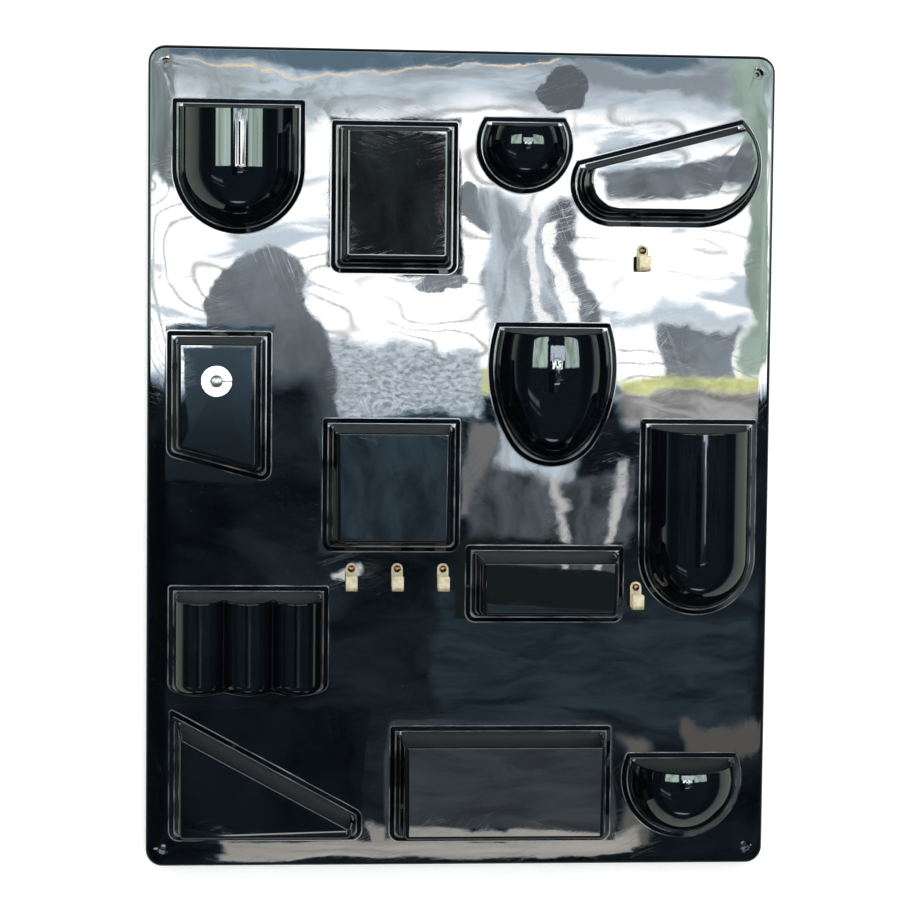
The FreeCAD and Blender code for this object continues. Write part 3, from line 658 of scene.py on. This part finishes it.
for name, shape, steps in (("wide_cup", cup_outline, (0, CUP_RINGS)),
                           ("tall_cup", cup_outline, (0, CUP_RINGS)),
                           ("small_cup", round_outline, (APEX_RINGS, BALL_RINGS)),
                           ("bowl", round_outline, (APEX_RINGS, BALL_RINGS))):
    left, right, bottom, top = around(name)
    radius = (right - left) / 2
    outline = shape((left + right) / 2, bottom + radius, radius, top)
    pockets.append(round_pocket(outline, lambda shrink, r=radius: r - LEDGE - shrink,
                                cup_contour(outline, radius), *steps))

left, right, bottom, top = around("egg_cup")
egg_size = ((left + right) / 2, bottom + EGG_DROP, (right - left) / 2, EGG_DROP, top)
pockets.append(round_pocket(egg_outline(*egg_size, EGG_FLANK, EGG_BASE),
                            lambda shrink: REACH - shrink, egg_contour(*egg_size), EGG_RINGS))

left, right, bottom, top = around("tube_rack")
middle = (left + right) / 2
pockets.append(tube_pocket(tube_outline(middle, TUBE_PITCH, bottom, top, TUBE_SCALLOP),
                           middle, TUBE_PITCH, bottom + LEDGE))

# ---- the board round them

BOARD_CORNER, BOARD_EDGE, REAR_EDGE, RIM_STEP = 14.0, 3.0, 0.4, 1.0
SINK, SINK_DEEP, SINK_EDGE, SINK_CUT, POST = 4.15, 6.0, 0.4, 0.12, 7.0
RIVET_HOLE, RIVET_STEPS = 1.65, 24
SHARP = math.radians(32)  # edges that bend more than this are shaded sharp
half_wide, half_high = board_high.x / MM, board_high.z / MM
board = box_outline(-half_wide, half_wide, -half_high, half_high)


def board_ring(inset, h):
    chain, top = board.ring(inset, [BOARD_CORNER - inset] * 4)
    return points_at(chain + top, h)


rim = [board_ring(BOARD_EDGE * (1 - math.sin(a)), -BOARD_EDGE * (1 - math.cos(a)))
       for a in quarter(EDGE_STEPS)]
rim += [board_ring(0, REAR_EDGE - BOARD_FRONT), board_ring(REAR_EDGE, -BOARD_FRONT),
        board_ring(SKIN, -BOARD_FRONT), board_ring(SKIN, -SKIN - RIM_STEP),
        board_ring(SKIN + RIM_STEP, -SKIN)]
cover(rim, closed=True)

front_holes, back_holes = [], []
mounts = {m["name"]: m for m in frame["record"]["mounts"]}
screws = mounts["wall_screws"]["dims"]
for side in (-1, 1):
    for height in (-1, 1):
        spot = side * screws["spacing_x_mm"] / 2, height * screws["spacing_y_mm"] / 2
        rings = [(SINK + SINK_EDGE, 0), (SINK + SINK_CUT, -SINK_CUT), (SINK, -SINK_EDGE),
                 (SINK, -SINK_DEEP),
                 (screws["hole_r_mm"], -SINK_DEEP), (screws["hole_r_mm"], -BOARD_FRONT),
                 (POST, -BOARD_FRONT), (POST, -SKIN)]
        rings = [points_at(circle(*spot, radius), h) for radius, h in rings]
        cover(rings, closed=True)
        front_holes.append(rings[0])
        back_holes.append(rings[-1])
for joint in frame["joints"]:
    if joint["name"].startswith("swivel"):
        spot = joint["pos_m"][0] / MM, joint["pos_m"][2] / MM
        ring = circle(*spot, RIVET_HOLE, RIVET_STEPS)
        front_holes.append(points_at(ring, 0))
        back_holes.append(points_at(ring, -SKIN))
        strip(front_holes[-1], back_holes[-1], closed=True)
skirts, backs = zip(*pockets)
fill(rim[0], *skirts, *front_holes)
fill(rim[-1], *backs, *back_holes)

bmesh.ops.remove_doubles(mesh, verts=mesh.verts, dist=SEAM)
bmesh.ops.dissolve_degenerate(mesh, dist=SEAM / 10, edges=mesh.edges)
bmesh.ops.recalc_face_normals(mesh, faces=mesh.faces)
for vert in mesh.verts:
    vert.co *= MM
for flat in mesh.faces:
    flat.smooth = True
for edge in mesh.edges:
    if len(edge.link_faces) == 2 and edge.calc_face_angle() > SHARP:
        edge.smooth = False
data = bpy.data.meshes.new("organiser_board")
mesh.to_mesh(data)
mesh.free()
panel = bpy.data.objects.new("organiser_board", data)
bpy.context.scene.collection.objects.link(panel)
weighted = panel.modifiers.new("even_normals", "WEIGHTED_NORMAL")
weighted.mode = "FACE_AREA"
weighted.weight = 50
weighted.keep_sharp = True
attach(panel, "board")
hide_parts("panel")

# ---- materials


class Nodes:
    """Short hand for building a node tree."""

    def __init__(self, tree):
        self.tree = tree
        tree.nodes.clear()

    def put(self, socket, value):
        if isinstance(value, bpy.types.NodeSocket):
            self.tree.links.new(value, socket)
        else:
            socket.default_value = value

    def add(self, kind, out=0, **inputs):
        """A new node's output; i2 is its input 2, set_x its property x, the rest are names."""
        node = self.tree.nodes.new("ShaderNode" + kind)
        for name, value in inputs.items():
            if name.startswith("set_"):
                setattr(node, name[4:], value)
            elif name[1:].isdigit():
                self.put(node.inputs[int(name[1:])], value)
            else:
                self.put(node.inputs[name.replace("_", " ")], value)
        return node.outputs[out] if node.outputs else node

    def split(self, vector):
        """The three parts of a vector."""
        node = self.tree.nodes.new("ShaderNodeSeparateXYZ")
        self.put(node.inputs[0], vector)
        return node.outputs

    def math(self, operation, *values, clamp=False):
        return self.add("Math", set_operation=operation, set_use_clamp=clamp,
                        **{f"i{index}": value for index, value in enumerate(values)})

    def chain(self, operation, values):
        total = values[0]
        for value in values[1:]:
            total = self.math(operation, total, value)
        return total

    def times(self, *values):
        return self.chain("MULTIPLY", values)

    def plus(self, *values):
        return self.chain("ADD", values)

    def minus(self, a, b):
        return self.math("SUBTRACT", a, b)

    def apart(self, a, b):
        return self.math("ABSOLUTE", self.minus(a, b))

    def length(self, a, b):
        return self.math("SQRT", self.plus(self.times(a, a), self.times(b, b)))

    def step(self, value, low, high, to_low=0.0, to_high=1.0):
        """Smooth change from to_low to to_high as value goes from low to high."""
        return self.add("MapRange", set_interpolation_type="SMOOTHSTEP", Value=value,
                        From_Min=low, From_Max=high, To_Min=to_low, To_Max=to_high)

    def noise(self, vector, scale, detail=2.0, roughness=0.5, distortion=0.0):
        return self.add("TexNoise", Vector=vector, Scale=scale, Detail=detail,
                        Roughness=roughness, Distortion=distortion)

    def stretch(self, vector, scale, turn=0.0):
        return self.add("Mapping", Vector=vector, Scale=scale, Rotation=(0, turn, 0))

    def mix(self, share, a, b):
        node = self.tree.nodes.new("ShaderNodeMix")
        node.data_type = "RGBA"
        for index, value in ((0, share), (6, a), (7, b)):
            self.put(node.inputs[index], value)
        return node.outputs[2]

    def bump(self, height, distance, **inputs):
        return self.add("Bump", Height=height, Distance=distance, **inputs)

    def finish(self, **inputs):
        """The whole look of a surface; returns its material."""
        self.add("OutputMaterial", i0=self.add("BsdfPrincipled", **inputs))
        return self.owner


def material(name):
    """A new material's nodes and the object's coordinates."""
    made = bpy.data.materials.new(name)
    made.use_nodes = True
    nodes = Nodes(made.node_tree)
    nodes.owner = made
    return nodes, nodes.add("TexCoord", out=3)


def scratches(n, place, scale, angle, thin=0.007):
    """Thin broken lines, mostly along one direction: 1 on a scratch, 0 elsewhere."""
    turned = n.stretch(place, (1, 1, 1), angle)
    along = n.stretch(turned, (scale, scale, scale * 0.03))
    near = n.apart(n.noise(along, 1.0, detail=0.0, distortion=0.3), 0.5)
    patchy = n.step(n.noise(turned, scale * 0.05, detail=3.0), 0.50, 0.66)
    return n.times(n.step(near, 0.0, thin, 1.0, 0.0), patchy)


def moulded_black():
    """Glossy black plastic: slow waves, wiping haze, scratches, dust, painted highlight lines along the ledges'
    edges, a matt back.
    """
    n, place = material("moulded_black_abs")
    haze = n.noise(place, 14.0, detail=5.0, roughness=0.62, distortion=0.8)
    wiped = n.noise(n.stretch(n.stretch(place, (1, 1, 1), 0.5), (60, 60, 9)), 1.0, detail=4.0)
    marks = 0.0
    for scale, angle in ((330.0, 0.35), (450.0, 1.25), (280.0, -0.7), (520.0, 1.9), (380.0, -1.3)):
        marks = n.math("MAXIMUM", marks, scratches(n, place, scale, angle))
    dust = n.step(n.noise(place, 1100.0), 0.72, 0.78)
    # painted highlight: pale, rougher lines on the ledges' edges and feet that stand in for their gloss
    highlight_lines = n.times(n.add("Attribute", out=2, set_attribute_name="worn"),
                     n.step(n.noise(place, 45.0, detail=4.0), 0.36, 0.66, 0.08, 1.0))
    rough = n.plus(n.step(haze, 0.35, 0.8, 0.003, 0.016), n.step(wiped, 0.5, 0.8, 0.0, 0.008),
                   n.times(marks, 0.05), n.times(highlight_lines, 0.15), n.times(dust, 0.25))
    colour = n.mix(n.step(haze, 0.3, 0.75), (0.0008, 0.0012, 0.0018, 1),
                   (0.0018, 0.0026, 0.004, 1))
    colour = n.mix(n.times(marks, 0.05), colour, (0.16, 0.17, 0.19, 1))
    colour = n.mix(n.times(dust, 0.15), colour, (0.3, 0.3, 0.29, 1))
    # painted highlight: the pale lines mixed into the colour
    colour = n.mix(n.times(highlight_lines, 0.38), colour, (0.62, 0.64, 0.64, 1))
    behind = n.step(n.split(n.add("NewGeometry", out=1))[1], 0.25, 0.6)
    matt = n.step(n.noise(place, 900.0), 0.3, 0.7, 0.36, 0.5)
    rough = n.math("MAXIMUM", rough, n.times(behind, matt))
    rear = n.mix(haze, (0.026, 0.027, 0.028, 1), (0.062, 0.063, 0.064, 1))
    waves = n.bump(n.noise(place, 7.0, detail=1.0, distortion=0.4), 0.0002)
    ripple = n.bump(n.noise(place, 30.0, detail=1.0), 0.00002, Normal=waves)
    orange = n.bump(n.noise(place, 420.0, detail=1.0), 0.0000006, Normal=ripple)
    return n.finish(Base_Color=n.mix(behind, colour, rear), Roughness=rough, IOR=1.9,
                    Normal=n.bump(marks, -0.00001, Normal=orange, Strength=0.06))


def satin_plate():
    """The back plates: the same plastic, sawn from textured sheet."""
    n, place = material("satin_black_sheet")
    worn = n.noise(place, 30.0, detail=4.0)
    return n.finish(Base_Color=n.mix(worn, (0.009, 0.01, 0.011, 1), (0.022, 0.023, 0.024, 1)),
                    Specular_IOR_Level=0.35, Roughness=n.step(worn, 0.3, 0.7, 0.38, 0.52),
                    Normal=n.bump(n.noise(place, 1500.0), 0.00005))


def cream_brass():
    """Hooks: pale brass, dulled, with rolled grain and darker spots."""
    n, place = material("pale_brass")
    spots = n.noise(place, 260.0, detail=5.0, roughness=0.6)
    colour = n.mix(n.step(spots, 0.35, 0.7), (0.52, 0.44, 0.28, 1), (0.74, 0.66, 0.48, 1))
    stains = n.step(n.noise(place, 700.0, detail=3.0), 0.62, 0.75, 0.0, 0.6)
    return n.finish(Base_Color=n.mix(stains, colour, (0.16, 0.11, 0.06, 1)), Metallic=0.3,
                    Roughness=n.step(spots, 0.3, 0.7, 0.34, 0.5),
                    Normal=n.bump(n.noise(n.stretch(place, (3000, 400, 200)), 1.0), 0.00002))


def copper():
    """Rivets: copper with darker spots."""
    n, place = material("copper_rivet")
    spots = n.noise(place, 500.0, detail=5.0, roughness=0.65)
    colour = n.mix(n.step(spots, 0.35, 0.7), (0.2, 0.075, 0.04, 1), (0.55, 0.26, 0.15, 1))
    return n.finish(Base_Color=colour, Metallic=1.0,
                    Roughness=n.step(spots, 0.3, 0.7, 0.2, 0.42),
                    Normal=n.bump(n.noise(place, 1400.0), 0.00003))


def chrome(name, tint, rough_low, rough_high, shade_ring=0.0):
    """Bright plating with wear; the last argument is the radius of a dark ring painted round the axis, a painted
    shade for the groove there.
    """
    n, place = material(name)
    spots = n.noise(place, 320.0, detail=5.0, roughness=0.6)
    wear = n.step(n.noise(place, 900.0, detail=3.0), 0.6, 0.72, 0.0, 0.5)
    colour = n.mix(wear, tint, (0.35, 0.34, 0.33, 1))
    if shade_ring:
        parts = n.split(place)
        x, z = (n.minus(parts[axis], centre * MM)
                for axis, centre in zip((0, 2), middle_of("clip_disc")))
        # painted shade: a dark ring along the groove round the axis
        ring = n.step(n.apart(n.length(x, z), shade_ring), 0.0002, 0.0006, 1.0, 0.0)
        colour = n.mix(n.times(ring, 0.75), colour, (0.22, 0.21, 0.2, 1))
    return n.finish(Base_Color=colour, Metallic=1.0, Normal=n.bump(spots, 0.00004),
                    Roughness=n.step(spots, 0.3, 0.7, rough_low, rough_high))


def dress(obj, finish):
    obj.data.materials.clear()
    obj.data.materials.append(finish)


RING_SHADE_RADIUS = 0.0062  # radius of the dark ring painted on the disc, a painted shade for the groove turned into it
FINISHES = (("organiser_board", moulded_black()), ("back_plate", satin_plate()),
            ("hook_rivets", copper()), ("hook", cream_brass()),
            ("clip_disc", chrome("bright_nickel", (0.9, 0.9, 0.89, 1), 0.12, 0.26, RING_SHADE_RADIUS)),
            ("disc_rivet", chrome("pale_nickel", (0.8, 0.76, 0.68, 1), 0.3, 0.46)))
for name, obj in {**frame["nodes"], "organiser_board": panel}.items():
    for start, finish in FINISHES:
        if name.startswith(start):
            dress(obj, finish)
            break

# ---- room, light and camera

WALL_GAP, FAR, FLOOR_DROP = 0.001, 6.0, 0.75


def sheet(name, corners):
    made = bpy.data.meshes.new(name)
    made.from_pydata(corners, [], [(0, 1, 2, 3)])
    obj = bpy.data.objects.new(name, made)
    bpy.context.scene.collection.objects.link(obj)
    return obj


def white_wall():
    """White paint, seen from the front only, so that the board's back can be looked at. In reflections it shows a
    painted shade of dim grey-green.
    """
    n, place = material("white_wall")
    tone = n.mix(n.noise(place, 1.3, detail=3.0), (0.9, 0.91, 0.9, 1), (0.96, 0.965, 0.955, 1))
    # painted shade: in reflections the wall shows dim grey-green, not white
    mirrored = n.add("LightPath", out=3)
    tone = n.mix(mirrored, tone, (0.3, 0.34, 0.29, 1))
    paint = n.add("BsdfPrincipled", Base_Color=tone, Roughness=0.8, Emission_Color=tone,
                  Emission_Strength=0.25)
    back = n.add("NewGeometry", out=6)
    n.add("OutputMaterial", i0=n.add("MixShader", i0=back, i1=paint, i2=n.add("BsdfTransparent")))
    return n.owner


def pale_floor():
    n, place = material("pale_floor")
    return n.finish(Base_Color=n.mix(n.noise(place, 2.0, detail=3.0), (0.72, 0.72, 0.71, 1),
                                     (0.78, 0.78, 0.77, 1)), Roughness=0.6)


floor_z = board_low.z - FLOOR_DROP
wall = sheet("wall", [(-FAR, WALL_GAP, floor_z), (FAR, WALL_GAP, floor_z),
                      (FAR, WALL_GAP, FAR), (-FAR, WALL_GAP, FAR)])
dress(wall, white_wall())
ground = sheet("floor", [(-FAR, -FAR, floor_z), (FAR, -FAR, floor_z),
                         (FAR, FAR, floor_z), (-FAR, FAR, floor_z)])
dress(ground, pale_floor())
ground.visible_glossy = False

LAMP_AT, LAMP_WIDE, LAMP_TALL, LAMP_POWER = Vector((0.3, -1.6, 2.2)), 1.6, 1.0, 60
light = bpy.data.lights.new("soft_top", "AREA")
light.shape = "RECTANGLE"
light.size, light.size_y, light.energy = LAMP_WIDE, LAMP_TALL, LAMP_POWER
lamp = bpy.data.objects.new("soft_top", light)
lamp.location = LAMP_AT
lamp.rotation_euler = (-LAMP_AT).to_track_quat("-Z", "Y").to_euler()
lamp.visible_glossy = False
bpy.context.scene.collection.objects.link(lamp)

MIRROR_DISTANCE = 1.991  # camera to skin: a reflection at (u, v) shows on the flat board
MIRROR_SHIFT = (-0.157, 0.119)  # at these coordinates plus the distance times (u, v)
WARPS = ((6.0, 0.028), (18.0, 0.014), (55.0, 0.006), (170.0, 0.002))  # scale and size of waves


class Room:
    """What glossy rays see, painted as soft shapes in the flat board's own coordinates."""

    def __init__(self, n):
        self.n = n
        parts = n.split(n.add("TexCoord"))
        ahead = n.math("MAXIMUM", n.times(parts[1], -1.0), 0.02)
        self.x, self.z = self.still = [
            n.math("MULTIPLY_ADD", n.math("DIVIDE", parts[axis], ahead), MIRROR_DISTANCE, shift)
            for axis, shift in zip((0, 2), MIRROR_SHIFT)]
        self.flat = n.add("CombineXYZ", X=self.x, Y=self.z)
        self.behind = n.step(parts[1], 0.0, 0.12)
        for scale, size in WARPS:
            for axis, offset in (("x", 0.0), ("z", 7.3)):
                moved = n.add("Mapping", Vector=self.flat, Location=(offset, offset, 0))
                swing = n.minus(n.noise(moved, scale, detail=1.0), 0.5)
                setattr(self, axis, n.math("MULTIPLY_ADD", swing, 2 * size, getattr(self, axis)))
        self.light, self.tint = 0.0, (1, 1, 1, 1)

    def cloud(self, wide, tall, to_low, to_high, low=0.3, high=0.7):
        """Cloudy texture, stretched by its two scales."""
        noise = self.n.noise(self.n.stretch(self.flat, (wide, tall, 1)), 1.0, detail=4.0,
                             roughness=0.6, distortion=0.6)
        return self.n.step(noise, low, high, to_low, to_high)

    def contours(self, scale, count, thin):
        """Thin lines along the levels of a slow noise."""
        n = self.n
        level = n.noise(n.stretch(self.flat, (scale, 2.2 * scale, 1)), 1.0, distortion=0.5)
        saw = n.apart(n.math("FRACT", n.times(level, count)), 0.5)
        return n.step(saw, 0.0, thin, 1.0, 0.0)

    def streak(self, start, end, half, soft=0.004):
        """1 along a straight band between two points, 0 outside."""
        n = self.n
        run = Vector(end) - Vector(start)
        size = run.length
        dx, dz = run / size
        x, z = n.minus(self.x, start[0]), n.minus(self.z, start[1])
        along = n.math("MULTIPLY_ADD", x, dx, n.times(z, dz))
        across = n.math("ABSOLUTE", n.math("MULTIPLY_ADD", x, -dz, n.times(z, dx)))
        return n.times(n.step(across, half - soft, half + soft, 1.0, 0.0),
                       n.step(along, -soft, soft),
                       n.step(along, size - soft, size + soft, 1.0, 0.0))

    def oval(self, x, z, wide, tall, soft=0.035):
        n = self.n
        away = n.length(*(n.math("DIVIDE", n.minus(at, centre), size)
                          for at, centre, size in ((self.x, x, wide), (self.z, z, tall))))
        return n.step(away, 1 - soft, 1 + soft, 1.0, 0.0)

    def pane(self, left, right, bottom, top, soft=0.004, at=None):
        """1 inside an upright rectangle, 0 outside."""
        x, z = at or (self.x, self.z)
        return self.n.times(*(self.n.step(value, edge - soft, edge + soft, 1.0 - inward, inward)
                              for value, edge, inward in ((x, left, 1.0), (x, right, 0.0),
                                                          (z, bottom, 1.0), (z, top, 0.0))))

    def front(self, name):
        """1 on what a pocket's front shows: the area of the flat board which the pocket hides."""
        left, right, bottom, top = (edge * MM for edge in around(name))
        return self.pane(left - 0.002, right + 0.002, bottom, top + 0.003, 0.0015, self.still)

    def paint(self, mask, light, tint=None):
        """Blend the light seen, and its tint, towards new values where the mask is 1."""
        n = self.n
        self.light = n.math("MULTIPLY_ADD", n.minus(light, self.light), mask, self.light)
        if tint:
            self.tint = n.mix(mask, self.tint, (*tint, 1))


NAVY, COOL, TEAL = (0.48, 0.76, 1.0), (0.77, 0.89, 1.0), (0.76, 0.92, 0.92)
MINT, LIME, GOLD = (0.74, 0.95, 0.84), (0.95, 1.0, 0.45), (1.0, 0.8, 0.55)
GREY, WARM = (1.0, 1.0, 1.0), (1.0, 0.96, 0.88)


def paint_room(n, room):
    """Windows, screens and dim furniture, from the large shapes to the small ones."""
    paint, pane, streak, oval, cloud = room.paint, room.pane, room.streak, room.oval, room.cloud
    paint(1.0, cloud(9, 26, 0.02, 0.13, high=0.75), NAVY)
    paint(n.times(pane(-0.11, 0.27, -0.24, -0.1, 0.03), cloud(12, 60, 0.2, 1.0)), 0.48, NAVY)
    for left, right in ((-2.1, -0.7), (0.52, 2.0)):
        paint(pane(left, right, 0.1, 1.1, 0.04), cloud(2.2, 1.2, 2.4, 5.2, 0.35, 0.65), MINT)
    # the bright sheet and its faint contour lines
    bright = pane(-0.36, 0.34, 0.062, 0.55, 0.008)
    paint(bright, 12.0, GREY)
    paint(n.times(bright, room.contours(2.4, 26.0, 0.14), cloud(7, 7, 0.0, 1.0, 0.38, 0.5)), 5.0,
          GREY)
    paint(n.times(bright, cloud(5, 22, 0.0, 1.0, 0.55, 0.62)), 7.0, COOL)
    # the mottled band along the top
    paint(pane(-0.5, 0.5, 0.29, 0.7, 0.02), cloud(10, 30, 3.2, 7.5), COOL)
    paint(n.times(pane(-0.26, -0.1, 0.28, 0.33, 0.01), cloud(60, 60, 0.0, 1.0, 0.45, 0.62)), 4.0,
          TEAL)
    paint(streak((-0.245, 0.35), (0.2, 0.354), 0.012), 2.0, NAVY)
    paint(streak((-0.23, 0.329), (-0.06, 0.338), 0.0012, 0.0015), 8.5, GOLD)
    paint(streak((-0.06, 0.337), (0.07, 0.34), 0.0012, 0.0015), 8.5, GOLD)
    paint(streak((0.08, 0.335), (0.22, 0.318), 0.01), 3.2, COOL)
    paint(pane(-0.32, -0.24, 0.225, 0.5), cloud(24, 9, 1.7, 3.4), TEAL)
    paint(oval(0.078, 0.312, 0.018, 0.023), 1.4, COOL)
    paint(streak((0.275, 0.08), (0.252, 0.42), 0.037), cloud(20, 8, 3.0, 5.0), MINT)
    # the grey shapes between the pockets, and on the slanted one's face
    paint(pane(0.168, 0.232, 0.072, 0.125), cloud(30, 30, 1.8, 3.0), COOL)
    paint(pane(0.125, 0.232, 0.125, 0.135), 7.0, COOL)
    paint(pane(0.125, 0.262, 0.03, 0.064, 0.006), cloud(30, 60, 1.9, 4.2), GREY)
    paint(pane(0.125, 0.255, 0.063, 0.077), cloud(30, 60, 4.2, 8.0), LIME)
    paint(pane(0.008, 0.024, 0.055, 0.08), 6.0, LIME)
    paint(oval(-0.02, 0.148, 0.02, 0.007), 2.4, COOL)
    paint(oval(0.008, 0.203, 0.01, 0.012), 2.4, COOL)
    paint(streak((0.112, 0.227), (0.24, 0.25), 0.021), cloud(30, 30, 1.4, 2.6), COOL)
    paint(pane(-0.11, 0.01, 0.035, 0.092, 0.005), cloud(150, 330, 2.8, 7.4, 0.32, 0.68), COOL)
    # the tall figure in the middle
    paint(streak((0.05, 0.217), (0.062, -0.02), 0.036), cloud(70, 18, 3.2, 6.8), COOL)
    paint(streak((0.08, 0.225), (0.114, 0.06), 0.013), cloud(70, 18, 1.3, 2.4), COOL)
    paint(streak((0.056, 0.222), (0.07, 0.115), 0.005, 0.002), 9.5, GREY)
    paint(streak((0.078, 0.205), (0.096, 0.11), 0.006, 0.002), 11.0, GREY)
    # the dark figure on the left and the dim floor
    shade = n.times(cloud(40, 24, 0.8, 1.2), n.step(room.z, 0.02, 0.16, 1.0, 2.2))
    paint(oval(-0.163, 0.098, 0.044, 0.07), shade, COOL)
    paint(oval(-0.154, 0.05, 0.057, 0.085), shade, COOL)
    paint(pane(-0.6, -0.108, -0.6, 0.062, 0.02), cloud(9, 22, 0.015, 0.13, high=0.75), NAVY)
    paint(pane(-0.6, -0.247, -0.6, 0.02, 0.006), 0.01)
    paint(pane(-0.2, -0.02, -0.6, 0.032, 0.01), cloud(9, 22, 0.04, 0.26, high=0.75), NAVY)
    # patches under the egg-shaped cup and the grey corners
    paint(pane(0.0, 0.024, -0.05, 0.03), 1.5, GREY)
    paint(pane(0.022, 0.15, -0.066, -0.004, 0.005), cloud(40, 20, 0.3, 1.1), COOL)
    paint(streak((0.083, 0.0), (0.097, -0.062), 0.004, 0.003), 4.6, GREY)
    paint(streak((0.134, 0.0), (0.127, -0.064), 0.005, 0.003), 5.0, GREY)
    paint(pane(0.19, 0.4, -0.246, -0.217), 0.8, WARM)
    paint(pane(0.133, 0.16, -0.34, -0.236, 0.006), 1.0, WARM)
    paint(streak((-0.19, -0.338), (0.15, -0.338), 0.021, 0.003), cloud(8, 40, 2.5, 3.8), WARM)
    paint(pane(-0.08, -0.05, -0.32, -0.303, 0.002), 2.6, WARM)
    paint(streak((-0.11, -0.106), (-0.08, -0.082), 0.0035, 0.002), 6.0, WARM)
    # what the flat pockets' fronts show
    paint(room.front("short_tray"), 0.1, MINT)
    paint(room.front("lower_tray"), cloud(12, 40, 0.28, 0.56), COOL)
    paint(room.front("square_bin"), cloud(40, 14, 0.2, 0.56), NAVY)
    paint(room.front("upper_tray"), cloud(16, 10, 0.05, 0.24), TEAL)
    paint(room.front("clip_bin"), n.step(room.z, -0.01, 0.1, 0.18, 0.75), NAVY)
    paint(room.front("triangle_bin"), cloud(16, 10, 0.01, 0.08), NAVY)
    # faint light from below, and darkness beyond the windows
    paint(oval(-0.2, -7.6, 1.6, 1.2, 0.3), 1.6, GREY)
    paint(n.step(n.math("ABSOLUTE", room.x), 2.4, 3.2), 0.03, NAVY)
    # what shows from the sides and from behind
    paint(n.step(room.x, -30.0, -5.0, 0.9, 0.0), 0.55, MINT)
    paint(n.step(room.x, 8.0, 30.0, 0.0, 0.9), 0.6, COOL)
    paint(streak((-3.1, -1.0), (-1.5, -1.25), 0.16, 0.1), cloud(2, 3, 0.5, 1.1), COOL)
    paint(streak((-3.1, -1.6), (-1.5, -1.85), 0.1, 0.08), cloud(2, 3, 0.25, 0.5), COOL)
    paint(room.behind, cloud(0.2, 0.2, 0.7, 1.1), GREY)


def studio_world():
    """Pale surroundings; glossy rays see the painted room."""
    world = bpy.data.worlds.new("studio")
    bpy.context.scene.world = world
    world.use_nodes = True
    world.cycles.sampling_method = "NONE"
    n = Nodes(world.node_tree)
    room = Room(n)
    paint_room(n, room)
    mirror = n.add("Background", Color=room.tint, Strength=room.light)
    plain = n.add("Background", Color=(0.97, 0.985, 1.0, 1), Strength=1.0)
    glossy = n.add("LightPath", out=3)
    n.add("OutputWorld", i0=n.add("MixShader", i0=glossy, i1=plain, i2=mirror))


studio_world()

LENS, SENSOR, ROLL = 94.95, 36, 0.615
CAMERA_AT = Vector((-0.157, -2.0078, 0.119))
CAMERA_AIM = Vector((-0.0049, -0.0168, 0.0053))
camera_data = bpy.data.cameras.new("camera")
camera_data.lens, camera_data.sensor_width = LENS, SENSOR
camera = bpy.data.objects.new("camera", camera_data)
camera.location = CAMERA_AT
turn = (CAMERA_AIM - CAMERA_AT).to_track_quat("-Z", "Y").to_matrix()
camera.rotation_euler = (turn @ Matrix.Rotation(math.radians(ROLL), 3, "Z")).to_euler()
bpy.context.scene.collection.objects.link(camera)
bpy.context.scene.camera = camera
bpy.context.scene.view_settings.view_transform = "Standard"
